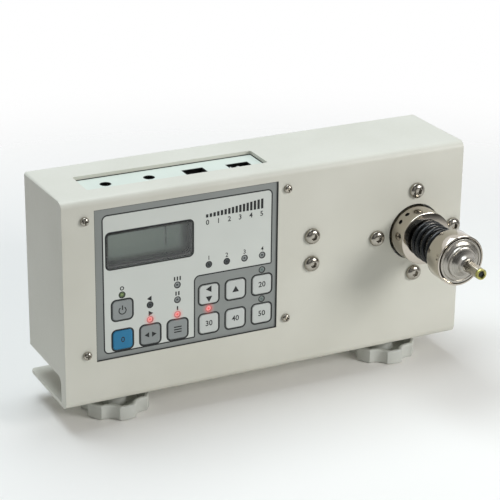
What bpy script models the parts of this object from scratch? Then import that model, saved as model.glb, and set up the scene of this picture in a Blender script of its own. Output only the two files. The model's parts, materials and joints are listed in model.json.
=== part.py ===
"""Digital torque meter: a folded steel case on two clamp knobs, with a keypad and
display on the left and a sprung run-down adapter on a torque shaft on the right.

Metres, +Z up, the front panel faces -Y. The object stands on its two knobs at z = 0.
Inside the script x runs from the case's left side, y from the front face towards the
back, and z from the underside of the base plate; the empty meter_frame moves that
frame to the middle of the object.
"""

import math

import bmesh
import bpy
from mathutils import Vector

# Clearances between pieces that touch, run in each other or slide
SEAT = 0.0003
RUNNING_GAP = 0.0006

# Folded and welded steel case
BODY_WIDTH = 0.280
BODY_HEIGHT = 0.1364
BODY_DEPTH = 0.063
SHEET = 0.0023
TOP_BEND = 0.0045
BASE_BEND = 0.0055
EDGE_ROUND = 0.0016
BOX_BOTTOM = 0.0195
SIDE_LIP_DEPTH = 0.0082
SIDE_LIP_CORNER = 0.005
BASE_CORNER = 0.003

# Rear cover, an L of thinner sheet held by four screws
COVER_SHEET = 0.0016
COVER_BEND = 0.003
COVER_SCREW_INSET = 0.0095
COVER_SCREW_ABOVE_FLOOR = 0.0125
COVER_SCREW_BELOW_TOP = 0.0124
LUG_WIDTH = 0.016
LUG_HEIGHT = 0.014

# Opening for the keypad and display, and the plates that fill it
OPENING_X = 0.0828
OPENING_WIDTH = 0.1238
OPENING_ABOVE_BOX = 0.00995
OPENING_BELOW_TOP = 0.00725
OVERLAY_THICKNESS = 0.001
SUBPANEL_SHEET = 0.0016
SUBPANEL_SIDE_LAP = 0.0121
SUBPANEL_END_LAP = 0.0019
SUBPANEL_CORNER = 0.003
PANEL_SCREW_BESIDE = 0.0063
PANEL_SCREW_BELOW = 0.00575

# Display window and the liquid crystal module behind it
WINDOW_X = 0.0576
WINDOW_BELOW_OPENING = 0.02845
WINDOW_WIDTH = 0.0575
WINDOW_HEIGHT = 0.0234
WINDOW_CORNER = 0.0025
WINDOW_LEDGE = 0.0008
LCD_WIDTH = 0.060
LCD_HEIGHT = 0.0255
LCD_BEZEL = 0.0012

# Keys and indicator lamps share one grid: two groups of three columns
GRID_ABOVE_OPENING = 0.01145
GRID_ROW_PITCH = 0.010
LEFT_COLUMN_X = 0.0387
RIGHT_COLUMN_X = 0.0973
COLUMN_PITCH = 0.01855
KEY_WIDTH = 0.0130
KEY_HEIGHT = 0.0126
KEY_CORNER = 0.0023
KEY_PROUD = 0.0004
KEY_THICKNESS = 0.0011
KEY_EDGE = 0.0003
KEY_STEM_RADIUS = 0.0025
KEY_TRAVEL = 0.0004
LAMP_RADIUS = 0.0015

# Display board with its switches
BOARD_THICKNESS = 0.0016
BOARD_END_GAP = 0.00185
BOARD_SIDE_GAP = 0.0009
BOARD_STANDOFF = 0.0058
STANDOFF_RADIUS = 0.0026
STANDOFF_INSET = 0.004
SWITCH_SIDE = 0.006
SWITCH_BODY = 0.0035
SWITCH_PLUNGER_RADIUS = 0.0016
SWITCH_PLUNGER = 0.0008

# Socket slot in the top, with the bracket and the sockets below it
SLOT_LEFT = 0.0234
SLOT_RIGHT = 0.1452
SLOT_FRONT = 0.0167
SLOT_BACK = 0.0415
SLOT_CORNER = 0.0012
BRACKET_SHEET = 0.0016
BRACKET_MARGIN = 0.006
BRACKET_DROP = 0.034
MAIN_BOARD_Y = 0.0345
MAIN_BOARD_WIDTH = 0.124
MAIN_BOARD_ABOVE_CELLS = 0.0059
CHIP_THICKNESS = 0.0022
SOCKET_DEPTH = 0.014
DC_JACK_X = 0.0401
OUTPUT_JACK_X = 0.0691
JACK_Y = 0.0286
JACK_HOLE_RADIUS = 0.0037
JACK_BORE_RADIUS = 0.0031
JACK_BODY_WIDTH = 0.011
MODULAR_X = 0.09955
MODULAR_Y = 0.0270
MODULAR_HOLE = (0.0145, 0.0096)
MODULAR_BORE = (0.0122, 0.0078)
SERIAL_X = 0.12955
SERIAL_Y = 0.0255
SERIAL_HOLE = (0.0154, 0.0092)
SERIAL_BORE = (0.0136, 0.0078)
SERIAL_TONGUE = (0.0090, 0.0022)
TONGUE_BELOW_RIM = 0.002
SOCKET_WALL = 0.0014

# Rechargeable cells in a tray on the floor of the box
CELL_RADIUS = 0.0072
CELL_LENGTH = 0.050
CELL_COUNT = 2
TRAY_WALL = 0.0016
TRAY_HEIGHT = 0.009
TRAY_X = 0.055
TRAY_BEFORE_COVER = 0.0022

# Torque sensor behind the panel, all on one axis along y
AXIS_FROM_RIGHT = 0.0347
SHAFT_HOLE_RADIUS = 0.019
SENSOR_SCREW_CIRCLE = 0.0287
HOUSING_FLANGE_RADIUS = 0.034
HOUSING_FLAT = 0.0318
HOUSING_FLANGE = 0.007
HOUSING_RADIUS = 0.023
BEARING_OUTER = 0.0185
BEARING_INNER = 0.0125
BEARING_WIDTH = 0.007
BEARING_CHAMFER = 0.0005
BEARING_SHOULDER = 0.002
BEARING_FIRST_Y = 0.0052
BEARING_SPACER = 0.0105
SHAFT_LENGTH = 0.0395
SHAFT_SHOULDER = 0.0145
DRIVE_SQUARE = 0.0127
DRIVE_CORNER = 0.001
DRIVE_LENGTH = 0.013
ARM_RADIUS = 0.019
ARM_THICKNESS = 0.010
ARM_HEIGHT = 0.014
ARM_REACH = 0.047
CLAMP_SLIT = 0.002

# Load cell at the end of the lever arm, and its bracket
BEAM_SCREW_FROM_AXIS = 0.0763
BEAM_SCREW_SPREAD = 0.0094
BEAM_HEIGHT = 0.0127
BEAM_THICKNESS = 0.012
BEAM_HOLE_RADIUS = 0.0042
BEAM_HOLE_SPREAD = 0.0039
FOOT_WIDTH = 0.022
FOOT_HEIGHT = 0.034
FOOT_THICKNESS = 0.005
POST_WIDTH = 0.013

# Run-down adapter in front of the panel
COLLAR_RADIUS = 0.0179
COLLAR_FRONT = 0.0145
COLLAR_BACK = 0.0022
TURNED_EDGE = 0.0005
SET_SCREW_RADIUS = 0.0016
SET_SCREW_DEPTH = 0.0032
SET_SCREW_Y = -0.0056
SET_SCREW_ANGLES = (122, 143)
PILOT_LENGTH = 0.005
SPRING_RADIUS = 0.0133
SPRING_WIRE = 0.0034
SPRING_END_TURNS = 0.9
SPRING_END_PITCH = 0.0037
SPRING_PITCH = 0.0062
CUP_RADIUS = 0.0167
CUP_RIM = 0.0012
CUP_FRONT = 0.0565
CUP_LENGTH = 0.0140
CUP_FLOOR = 0.003
BEARING_RING = (0.0060, 0.0125, 0.0030)
DISC_RADIUS = 0.0148
DISC_PROUD = 0.0004
BOSS_RADIUS = 0.0103
BOSS_PROUD = 0.0034
DISC_STEP = 0.0022
CONE_RADIUS = 0.0086
CONE_TOP_RADIUS = 0.0047
CONE_PROUD = 0.0093
CONE_EASE = 0.0009
BOLT_RADIUS = 0.004
THREAD_CHAMFER = 0.0008
BOLT_THREAD_END = 0.0075
HEX_FLATS = 0.00635
HEX_FRONT = 0.0790
TIP_FRONT = 0.0812
TIP_RADIUS = 0.0036
TIP_SOCKET_FLATS = 0.0040
TIP_SOCKET_DEPTH = 0.005
ADAPTER_TRAVEL = 0.006

# Clamp knobs below the base plate, which the meter stands on
KNOB_X = 0.042
KNOB_Y = 0.0245
KNOB_RADIUS = 0.02185
KNOB_HEIGHT = 0.0098
KNOB_GAP = 0.0064
KNOB_LOBES = 6
KNOB_FLUTE_ANGLE = 31.5
KNOB_FLUTE_RADIUS = 0.0085
KNOB_WALL = 0.0024
KNOB_FLOOR = 0.0032
KNOB_CHAMFER = 0.0006
KNOB_HUB_RADIUS = 0.0075
LEFT_FLUTE_ANGLE = -119.0
RIGHT_FLUTE_ANGLE = -124.3
STUD_RADIUS = 0.004
STUD_TOP = 0.0150
WASHER_RADIUS = 0.0082
WASHER_THICKNESS = 0.0014
NUT_FLATS = 0.013
NUT_HEIGHT = 0.0065

# Screws: shank radius, head radius, head height, length under the head. The rim and
# the flat crown of the head are standard shares of its height and radius
SMALL_SCREW = (0.0014, 0.0028, 0.0021, 0.0085)
LARGE_SCREW = (0.0027, 0.00525, 0.0033, 0.0105)
COVER_SCREW = (0.0014, 0.0028, 0.0021, 0.0056)
SMALL_CROSS = 0.0034
LARGE_SOCKET_FLATS = 0.004
RECESS_DEPTH = 0.0013
HEAD_RIM = 0.25
HEAD_CROWN = 0.45
SCREW_POINT = 0.0006

# Sides of round pieces, from the widest to the smallest
ROUND_FINE = 36
ROUND = 24
ROUND_SMALL = 14
ROUND_LAMP = 8

FRONT_OF_OBJECT = -TIP_FRONT
REAR_OF_OBJECT = BODY_DEPTH + SEAT + COVER_SCREW[2]
UNDERSIDE = -(KNOB_GAP + KNOB_HEIGHT)
OPENING_BOTTOM = BOX_BOTTOM + OPENING_ABOVE_BOX
OPENING_TOP = BODY_HEIGHT - OPENING_BELOW_TOP
OPENING_HEIGHT = OPENING_TOP - OPENING_BOTTOM
MIDDLE_Z = (OPENING_BOTTOM + OPENING_TOP) / 2
WINDOW_Z = OPENING_TOP - WINDOW_BELOW_OPENING
GRID_ROW_Z = OPENING_BOTTOM + GRID_ABOVE_OPENING
BOARD_WIDTH = OPENING_WIDTH - 2 * BOARD_SIDE_GAP
BOARD_HEIGHT = OPENING_HEIGHT - 2 * BOARD_END_GAP
AXIS_X = BODY_WIDTH - AXIS_FROM_RIGHT
BEAM_SCREW_X = AXIS_X - BEAM_SCREW_FROM_AXIS
PILOT_RADIUS = SPRING_RADIUS - SPRING_WIRE - RUNNING_GAP
OVERLAY_FACE_Y = SHEET - OVERLAY_THICKNESS
SUBPANEL_Y = SHEET + SEAT
HOUSING_LENGTH = BEARING_FIRST_Y + 2 * BEARING_WIDTH + BEARING_SPACER - SUBPANEL_Y
BOARD_Y = SUBPANEL_Y + SUBPANEL_SHEET + BOARD_STANDOFF
COVER_INNER_Y = BODY_DEPTH - COVER_SHEET
BRACKET_TOP = BODY_HEIGHT - SHEET - SEAT
SOCKET_TOP = BRACKET_TOP - BRACKET_SHEET - SEAT
TRAY_FLOOR = BOX_BOTTOM + COVER_SHEET + SEAT
CELLS_TOP = TRAY_FLOOR + TRAY_WALL + SEAT + 2 * CELL_RADIUS
MAIN_BOARD_TOP = SOCKET_TOP - SEAT
MAIN_BOARD_HEIGHT = MAIN_BOARD_TOP - CELLS_TOP - MAIN_BOARD_ABOVE_CELLS


# Scene, materials and objects


def clear_scene():
    """Remove every object of the scene that Blender opens with."""
    for obj in list(bpy.data.objects):
        bpy.data.objects.remove(obj, do_unlink=True)


def linear(channel):
    """One sRGB channel, 0 to 255, as linear light."""
    value = channel / 255
    return value / 12.92 if value <= 0.04045 else ((value + 0.055) / 1.055) ** 2.4


def make_material(name, hex_colour, roughness, metallic):
    """A Principled material, or the one of that name made before."""
    found = bpy.data.materials.get(name)
    if found:
        return found
    material = bpy.data.materials.new(name)
    material.use_nodes = True
    shader = material.node_tree.nodes["Principled BSDF"]
    rgb = [linear(int(hex_colour[i : i + 2], 16)) for i in (0, 2, 4)]
    shader.inputs["Base Color"].default_value = (*rgb, 1)
    shader.inputs["Roughness"].default_value = roughness
    shader.inputs["Metallic"].default_value = metallic
    material.diffuse_color = (*rgb, 1)
    return material


def shell_paint():
    return make_material("ivory_shell_paint", "CFCDBF", 0.45, 0.0)


def zinc_plate():
    return make_material("zinc_plated_sheet", "B9BCBE", 0.35, 1.0)


def turned_steel():
    return make_material("turned_steel", "C9C5BC", 0.2, 1.0)


def polished_nickel():
    return make_material("polished_nickel", "D6D2C8", 0.12, 1.0)


def black_spring_steel():
    return make_material("oiled_black_spring_steel", "1B1E21", 0.35, 0.6)


def aluminium():
    return make_material("machined_aluminium", "C4C7CA", 0.3, 1.0)


def printed_film():
    return make_material("printed_polyester_film", "B8BDBC", 0.4, 0.0)


def key_film(name, hex_colour):
    return make_material(name, hex_colour, 0.4, 0.0)


def clear_acrylic():
    return make_material("clear_acrylic_window", "68736A", 0.08, 0.0)


def display_glass():
    return make_material("liquid_crystal_glass", "5D6A61", 0.15, 0.0)


def circuit_board():
    return make_material("green_circuit_board", "1F5B3A", 0.5, 0.0)


def black_plastic():
    return make_material("black_moulded_plastic", "1C1D1E", 0.5, 0.0)


def knob_plastic():
    return make_material("grey_moulded_knob_plastic", "AEB0A9", 0.5, 0.0)


def cell_wrap():
    return make_material("green_cell_wrap", "3E7F52", 0.45, 0.0)


def make_object(name, bm, material, parent, location=(0, 0, 0), smooth=40):
    """Turn a bmesh into an object whose faces point out."""
    bmesh.ops.recalc_face_normals(bm, faces=bm.faces)
    mesh = bpy.data.meshes.new(name)
    bm.to_mesh(mesh)
    bm.free()
    return place_mesh(name, mesh, material, parent, location, smooth)


def place_mesh(name, mesh, material, parent, location=(0, 0, 0), smooth=40):
    """An object with this mesh, smooth shaded but for its sharp edges."""
    if not mesh.materials:
        mesh.materials.append(material)
    mesh.shade_smooth()
    mesh.set_sharp_from_angle(angle=math.radians(smooth))
    obj = bpy.data.objects.new(name, mesh)
    bpy.context.scene.collection.objects.link(obj)
    obj.parent = parent
    obj.location = location
    return obj


def make_empty(name, parent, location):
    """A frame of reference that carries other objects."""
    empty = bpy.data.objects.new(name, None)
    empty.empty_display_size = 0.01
    bpy.context.scene.collection.objects.link(empty)
    empty.parent = parent
    empty.location = location
    return empty


def add_boolean(obj, name, operand_bm, operation):
    """Cut or join a hidden mesh, given in the object's own coordinates."""
    bmesh.ops.recalc_face_normals(operand_bm, faces=operand_bm.faces)
    mesh = bpy.data.meshes.new(name)
    operand_bm.to_mesh(mesh)
    operand_bm.free()
    operand = bpy.data.objects.new(name, mesh)
    bpy.context.scene.collection.objects.link(operand)
    operand.parent = obj
    operand.hide_render = True
    operand.display_type = "WIRE"
    modifier = obj.modifiers.new(name, "BOOLEAN")
    modifier.operation = operation
    modifier.object = operand


def cut(obj, name, operand_bm):
    add_boolean(obj, name, operand_bm, "DIFFERENCE")


def join(obj, name, operand_bm):
    add_boolean(obj, name, operand_bm, "UNION")


# Outlines and solids


def rounded_rectangle(width, height, radius, steps=4):
    """Points of a rectangle with round corners about the origin, anticlockwise."""
    points = []
    for quarter in range(4):
        turn = math.radians(90 * quarter)
        sign_x = 1 if quarter in (0, 3) else -1
        sign_y = 1 if quarter in (0, 1) else -1
        centre_x = sign_x * (width / 2 - radius)
        centre_y = sign_y * (height / 2 - radius)
        for step in range(steps + 1):
            angle = turn + math.radians(90) * step / steps
            points.append(
                (centre_x + radius * math.cos(angle), centre_y + radius * math.sin(angle))
            )
    return points


def circle(radius, count, start=0.0):
    """Points of a circle about the origin, anticlockwise."""
    return [
        (
            radius * math.cos(start + math.tau * i / count),
            radius * math.sin(start + math.tau * i / count),
        )
        for i in range(count)
    ]


def rectangle(width, height):
    """Corners of a rectangle about the origin, anticlockwise."""
    half_x, half_y = width / 2, height / 2
    return [(half_x, half_y), (-half_x, half_y), (-half_x, -half_y), (half_x, -half_y)]


def hexagon(flats, turn=30):
    """A hexagon by its width across flats; turn 0 sets a flat at its top."""
    return circle(flats / math.sqrt(3), 6, math.radians(turn))


def moved(points, shift):
    return [(x + shift[0], y + shift[1]) for x, y in points]


AXES = {
    "x": lambda u, v, w: Vector((w, u, v)),
    "y": lambda u, v, w: Vector((u, w, v)),
    "z": lambda u, v, w: Vector((u, v, w)),
}


def loft(bm, rings, axis="z", closed=False):
    """Skin a stack of rings of equal count, each (points, place along the axis).

    The first and last ring are capped, or joined to each other when closed.
    """
    to_space = AXES[axis]
    loops = [[bm.verts.new(to_space(u, v, w)) for u, v in ring] for ring, w in rings]
    pairs = list(zip(loops, loops[1:]))
    if closed:
        pairs.append((loops[-1], loops[0]))
    for low, high in pairs:
        count = len(low)
        for i in range(count):
            k = (i + 1) % count
            bm.faces.new((low[i], low[k], high[k], high[i]))
    if not closed:
        bm.faces.new(reversed(loops[0]))
        bm.faces.new(loops[-1])


def prism(bm, outline, low, high, axis="z"):
    loft(bm, [(outline, low), (outline, high)], axis)


def block(bm, low, high):
    """A box between two opposite corners."""
    centre = ((low[0] + high[0]) / 2, (low[1] + high[1]) / 2)
    outline = moved(rectangle(high[0] - low[0], high[1] - low[1]), centre)
    prism(bm, outline, low[2], high[2])


def turned(bm, profile, count, axis="y"):
    """A solid of revolution: (radius, place) from one end of the axis to the other."""
    loft(bm, [(circle(radius, count), place) for radius, place in profile], axis)


def turned_ring(bm, profile, count, axis="y"):
    """A ring of revolution from a closed profile of (radius, place)."""
    rings = [(circle(radius, count), place) for radius, place in profile]
    loft(bm, rings, axis, closed=True)


# Case


def side_outline(inset, end_y, low_z):
    """Outline of the folded case seen from its side, as (y, z)."""
    top = BODY_HEIGHT - inset
    radius_top = TOP_BEND - inset
    radius_base = BASE_BEND - inset
    steps = 5
    points = [(end_y, low_z), (end_y, top)]
    for step in range(steps + 1):
        angle = math.radians(90 + 90 * step / steps)
        points.append(
            (
                inset + radius_top + radius_top * math.cos(angle),
                top - radius_top + radius_top * math.sin(angle),
            )
        )
    for step in range(steps + 1):
        angle = math.radians(180 + 90 * step / steps)
        points.append(
            (
                inset + radius_base + radius_base * math.cos(angle),
                low_z + radius_base + radius_base * math.sin(angle),
            )
        )
    return points


def outer_body():
    """The full block of the case, with its vertical and top edges rounded."""
    bm = bmesh.new()
    prism(bm, side_outline(0, BODY_DEPTH, 0), 0, BODY_WIDTH, "x")
    bm.edges.ensure_lookup_table()
    rounded = []
    for edge in bm.edges:
        first, second = (vert.co for vert in edge.verts)
        on_side = abs(first.x - second.x) < SEAT
        behind = min(first.y, second.y) > BODY_DEPTH - SEAT
        below = max(first.z, second.z) < SEAT
        if on_side and not behind and not below:
            rounded.append(edge)
    bmesh.ops.bevel(
        bm, geom=rounded, offset=EDGE_ROUND, segments=3, profile=0.5, affect="EDGES"
    )
    return bm


def throat_cutter():
    """The space between box and base plate, which is open at both sides and behind."""
    beyond = BODY_DEPTH + SHEET
    outline = [(beyond, SHEET), (beyond, BOX_BOTTOM)]
    steps = 4
    for step in range(steps + 1):
        angle = math.radians(90 + 90 * step / steps)
        outline.append(
            (
                SIDE_LIP_DEPTH + SIDE_LIP_CORNER * (1 + math.cos(angle)),
                BOX_BOTTOM - SIDE_LIP_CORNER * (1 - math.sin(angle)),
            )
        )
    outline.append((SIDE_LIP_DEPTH, SHEET))
    bm = bmesh.new()
    prism(bm, outline, -SHEET, BODY_WIDTH + SHEET, "x")
    return bm


def base_corner_cutter():
    """What rounds the two rear corners of the base plate."""
    bm = bmesh.new()
    for side, x in ((1, 0), (-1, BODY_WIDTH)):
        outline = [(x - side * SHEET, BODY_DEPTH + SHEET), (x - side * SHEET, 0)]
        outline[1] = (outline[1][0], BODY_DEPTH - BASE_CORNER)
        for step in range(5):
            angle = math.radians(90 * step / 4)
            outline.append(
                (
                    x + side * BASE_CORNER * (1 - math.cos(angle)),
                    BODY_DEPTH - BASE_CORNER * (1 - math.sin(angle)),
                )
            )
        outline.append((x + side * BASE_CORNER, BODY_DEPTH + SHEET))
        prism(bm, outline, -SHEET, SHEET * 2)
    return bm


def cover_screw_places():
    return [
        (x, z)
        for x in (COVER_SCREW_INSET, BODY_WIDTH - COVER_SCREW_INSET)
        for z in (BOX_BOTTOM + COVER_SCREW_ABOVE_FLOOR, BODY_HEIGHT - COVER_SCREW_BELOW_TOP)
    ]


def panel_screw_places():
    spread_x = OPENING_WIDTH / 2 + PANEL_SCREW_BESIDE
    spread_z = OPENING_HEIGHT / 2 - PANEL_SCREW_BELOW
    return [
        (OPENING_X + side * spread_x, MIDDLE_Z + end * spread_z)
        for side in (-1, 1)
        for end in (-1, 1)
    ]


def sensor_screw_places():
    return [
        (
            AXIS_X + SENSOR_SCREW_CIRCLE * math.cos(math.radians(90 * turn)),
            MIDDLE_Z + SENSOR_SCREW_CIRCLE * math.sin(math.radians(90 * turn)),
        )
        for turn in range(4)
    ]


def beam_screw_places():
    return [(BEAM_SCREW_X, MIDDLE_Z + side * BEAM_SCREW_SPREAD) for side in (-1, 1)]


def add_bore(bm, places, radius, low, high, axis="y", count=ROUND_SMALL):
    """Round cutters at these places."""
    for place in places:
        prism(bm, moved(circle(radius, count), place), low, high, axis)


def build_main_shell(frame):
    """Front, top, sides and base plate, folded from one sheet and welded."""
    shell = make_object("main_shell", outer_body(), shell_paint(), frame)
    hollow = bmesh.new()
    outline = side_outline(SHEET, BODY_DEPTH + SHEET, SHEET)
    prism(hollow, outline, SHEET, BODY_WIDTH - SHEET, "x")
    cut(shell, "shell_hollow", hollow)
    cut(shell, "shell_throat", throat_cutter())
    cut(shell, "shell_base_corners", base_corner_cutter())

    lugs = bmesh.new()
    lug_back = COVER_INNER_Y - SEAT
    for x, z in cover_screw_places():
        edge = SHEET / 2 if x < BODY_WIDTH / 2 else BODY_WIDTH - SHEET / 2
        inner = LUG_WIDTH if x < BODY_WIDTH / 2 else BODY_WIDTH - LUG_WIDTH
        low_x, high_x = min(edge, inner), max(edge, inner)
        block(
            lugs,
            (low_x, lug_back - SHEET, z - LUG_HEIGHT / 2),
            (high_x, lug_back, z + LUG_HEIGHT / 2),
        )
    join(shell, "shell_lugs", lugs)

    holes = bmesh.new()
    front, behind = -SHEET, SHEET * 2
    opening = moved(rectangle(OPENING_WIDTH, OPENING_HEIGHT), (OPENING_X, MIDDLE_Z))
    prism(holes, opening, front, behind, "y")
    add_bore(holes, [(AXIS_X, MIDDLE_Z)], SHAFT_HOLE_RADIUS, front, behind, count=ROUND_FINE)
    small = SMALL_SCREW[0] + SEAT
    large = LARGE_SCREW[0] + SEAT
    add_bore(holes, panel_screw_places(), small, front, behind)
    add_bore(holes, sensor_screw_places(), large, front, behind)
    add_bore(holes, beam_screw_places(), large, front, behind)
    lug_front = COVER_INNER_Y - SHEET * 2
    add_bore(holes, cover_screw_places(), small, lug_front, BODY_DEPTH)
    slot_size = (SLOT_RIGHT - SLOT_LEFT, SLOT_BACK - SLOT_FRONT)
    slot_middle = ((SLOT_LEFT + SLOT_RIGHT) / 2, (SLOT_FRONT + SLOT_BACK) / 2)
    slot = moved(rounded_rectangle(*slot_size, SLOT_CORNER, 2), slot_middle)
    prism(holes, slot, BODY_HEIGHT - SHEET * 2, BODY_HEIGHT + SHEET)
    studs = [(KNOB_X, KNOB_Y), (BODY_WIDTH - KNOB_X, KNOB_Y)]
    add_bore(holes, studs, STUD_RADIUS + RUNNING_GAP, -SHEET, SHEET * 2, "z")
    cut(shell, "shell_holes", holes)
    return shell


def build_rear_cover(frame):
    """The back of the box and its floor, one sheet with one bend."""
    outer = []
    inner = []
    radius = COVER_BEND
    for step in range(5):
        angle = math.radians(90 * step / 4)
        across, up = math.sin(angle), math.cos(angle)
        outer.append(
            (BODY_DEPTH - radius * (1 - across), BOX_BOTTOM + radius * (1 - up))
        )
        inside = radius - COVER_SHEET
        inner.append(
            (BODY_DEPTH - radius + inside * across, BOX_BOTTOM + radius - inside * up)
        )
    front_y = SHEET + SEAT
    top_z = BODY_HEIGHT - SHEET - SEAT
    outline = [(front_y, BOX_BOTTOM)] + outer + [(BODY_DEPTH, top_z)]
    outline += [(COVER_INNER_Y, top_z)] + inner[::-1]
    outline.append((front_y, BOX_BOTTOM + COVER_SHEET))
    bm = bmesh.new()
    edge = SHEET + SEAT
    prism(bm, outline, edge, BODY_WIDTH - edge, "x")
    cover = make_object("rear_cover", bm, shell_paint(), frame)
    holes = bmesh.new()
    radius = COVER_SCREW[0] + SEAT
    add_bore(holes, cover_screw_places(), radius, COVER_INNER_Y - SHEET, BODY_DEPTH + SHEET)
    cut(cover, "cover_holes", holes)
    return cover


# Screws


def cross_outline(span):
    """A cross recess: two bars of a quarter of its span."""
    arm, bar = span / 2, span / 8
    corner = [(arm, bar), (bar, bar), (bar, arm), (-bar, arm), (-bar, bar), (-arm, bar)]
    return corner + [(-x, -y) for x, y in corner]


def screw_mesh(name, size, recess, material):
    """A screw along y with its head at -y and the underside of the head at y = 0."""
    shank, head, height, length = size
    bm = bmesh.new()
    profile = [(shank - SCREW_POINT, length), (shank, length - SCREW_POINT)]
    profile += [(shank, 0), (head, 0)]
    for step in range(1, 4):
        angle = math.radians(90 * step / 3)
        radius = head * (HEAD_CROWN + (1 - HEAD_CROWN) * math.cos(angle))
        rise = height * (HEAD_RIM + (1 - HEAD_RIM) * math.sin(angle))
        profile.append((radius, -rise))
    turned(bm, profile, ROUND_SMALL)
    screw = make_object(name, bm, material, None)
    pocket = bmesh.new()
    prism(pocket, recess, -height - RECESS_DEPTH, -height + RECESS_DEPTH, "y")
    cut(screw, name + "_recess", pocket)
    return screw


def build_screws(frame, name, size, recess, places, face_y, facing=1):
    """One screw for each place, seated on a face that looks to -y or, turned, to +y."""
    for number, (x, z) in enumerate(places, 1):
        screw = screw_mesh(f"{name}_{number}", size, recess, turned_steel())
        screw.parent = frame
        screw.location = (x, face_y - facing * SEAT, z)
        if facing < 0:
            screw.rotation_euler = (0, 0, math.pi)


# Keypad and display


def grid_x(side, column):
    first = LEFT_COLUMN_X if side == "left" else RIGHT_COLUMN_X
    return first + COLUMN_PITCH * column


def grid_z(row):
    return GRID_ROW_Z + GRID_ROW_PITCH * row


KEYS = (
    ("power_key", "left", 0, 2, "grey"),
    ("reset_key", "left", 0, 0, "blue"),
    ("unit_key", "left", 1, 0, "grey"),
    ("mode_key", "left", 2, 0, "grey"),
    ("set_key", "right", 0, 2, "light"),
    ("up_key", "right", 1, 2, "light"),
    ("setting_key_top_right", "right", 2, 2, "light"),
    ("setting_key_lower_left", "right", 0, 0, "light"),
    ("setting_key_lower_middle", "right", 1, 0, "light"),
    ("setting_key_lower_right", "right", 2, 0, "light"),
)
KEY_COLOURS = {"grey": "8F9091", "blue": "2F87C4", "light": "C8CAC8"}


def key_places():
    return [(grid_x(side, column), grid_z(row)) for _, side, column, row, _ in KEYS]


def lamp_places():
    """Thirteen indicator lamps on the same grid, two of them between columns."""
    left = [(0, 3), (1, 2), (1, 1), (2, 3), (2, 2), (2, 1)]
    right = [(0, 4), (2 / 3, 4), (4 / 3, 4), (2, 4), (2, 3), (2, 1), (0, 1)]
    places = [(grid_x("left", column), grid_z(row)) for column, row in left]
    return places + [(grid_x("right", column), grid_z(row)) for column, row in right]


def build_overlay(frame):
    """Stiff printed plate that fills the case's opening, pierced for keys and lamps."""
    middle = (OPENING_X, MIDDLE_Z)
    bm = bmesh.new()
    outline = rectangle(OPENING_WIDTH - 2 * SEAT, OPENING_HEIGHT - 2 * SEAT)
    prism(bm, outline, 0, OVERLAY_THICKNESS, "y")
    place = (middle[0], OVERLAY_FACE_Y, middle[1])
    overlay = make_object("front_overlay", bm, printed_film(), frame, place)
    holes = bmesh.new()
    low, high = -OVERLAY_THICKNESS, OVERLAY_THICKNESS * 2
    window = rounded_rectangle(WINDOW_WIDTH, WINDOW_HEIGHT, WINDOW_CORNER)
    shift = (WINDOW_X - middle[0], WINDOW_Z - middle[1])
    prism(holes, moved(window, shift), low, high, "y")
    for x, z in key_places():
        key_hole = rounded_rectangle(
            KEY_WIDTH + 2 * SEAT, KEY_HEIGHT + 2 * SEAT, KEY_CORNER + SEAT, 3
        )
        prism(holes, moved(key_hole, (x - middle[0], z - middle[1])), low, high, "y")
    lamps = [(x - middle[0], z - middle[1]) for x, z in lamp_places()]
    add_bore(holes, lamps, LAMP_RADIUS + SEAT, low, high, count=ROUND_LAMP + 4)
    cut(overlay, "overlay_holes", holes)
    return overlay


def build_subpanel(frame):
    """Plate behind the overlay, with stand-offs that hold the display board."""
    place = (OPENING_X, SUBPANEL_Y, MIDDLE_Z)
    bm = bmesh.new()
    width = OPENING_WIDTH + 2 * SUBPANEL_SIDE_LAP
    height = OPENING_HEIGHT + 2 * SUBPANEL_END_LAP
    outline = rounded_rectangle(width, height, SUBPANEL_CORNER)
    prism(bm, outline, 0, SUBPANEL_SHEET, "y")
    panel = make_object("display_subpanel", bm, zinc_plate(), frame, place)
    posts = bmesh.new()
    for x, z in standoff_places():
        post = moved(circle(STANDOFF_RADIUS, 12), (x, z))
        prism(posts, post, SUBPANEL_SHEET / 2, SUBPANEL_SHEET + BOARD_STANDOFF - SEAT, "y")
    join(panel, "subpanel_standoffs", posts)
    holes = bmesh.new()
    low, high = -SUBPANEL_SHEET, SUBPANEL_SHEET * 2
    clear = (WINDOW_WIDTH - 2 * WINDOW_LEDGE, WINDOW_HEIGHT - 2 * WINDOW_LEDGE)
    window = rounded_rectangle(*clear, WINDOW_CORNER - WINDOW_LEDGE)
    shift = (WINDOW_X - OPENING_X, WINDOW_Z - MIDDLE_Z)
    prism(holes, moved(window, shift), low, high, "y")
    stems = [(x - OPENING_X, z - MIDDLE_Z) for x, z in key_places()]
    add_bore(holes, stems, KEY_STEM_RADIUS + RUNNING_GAP, low, high, count=12)
    lamps = [(x - OPENING_X, z - MIDDLE_Z) for x, z in lamp_places()]
    add_bore(holes, lamps, LAMP_RADIUS + 2 * SEAT, low, high, count=ROUND_LAMP)
    screws = [(x - OPENING_X, z - MIDDLE_Z) for x, z in panel_screw_places()]
    add_bore(holes, screws, SMALL_SCREW[0] + SEAT, low, high)
    cut(panel, "subpanel_holes", holes)
    return panel


def standoff_places():
    """Stand-offs near the board's corners, from the middle of the opening."""
    half_x = BOARD_WIDTH / 2 - STANDOFF_INSET
    half_z = BOARD_HEIGHT / 2 - STANDOFF_INSET
    return [(side * half_x, end * half_z) for side in (-1, 1) for end in (-1, 1)]


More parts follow.
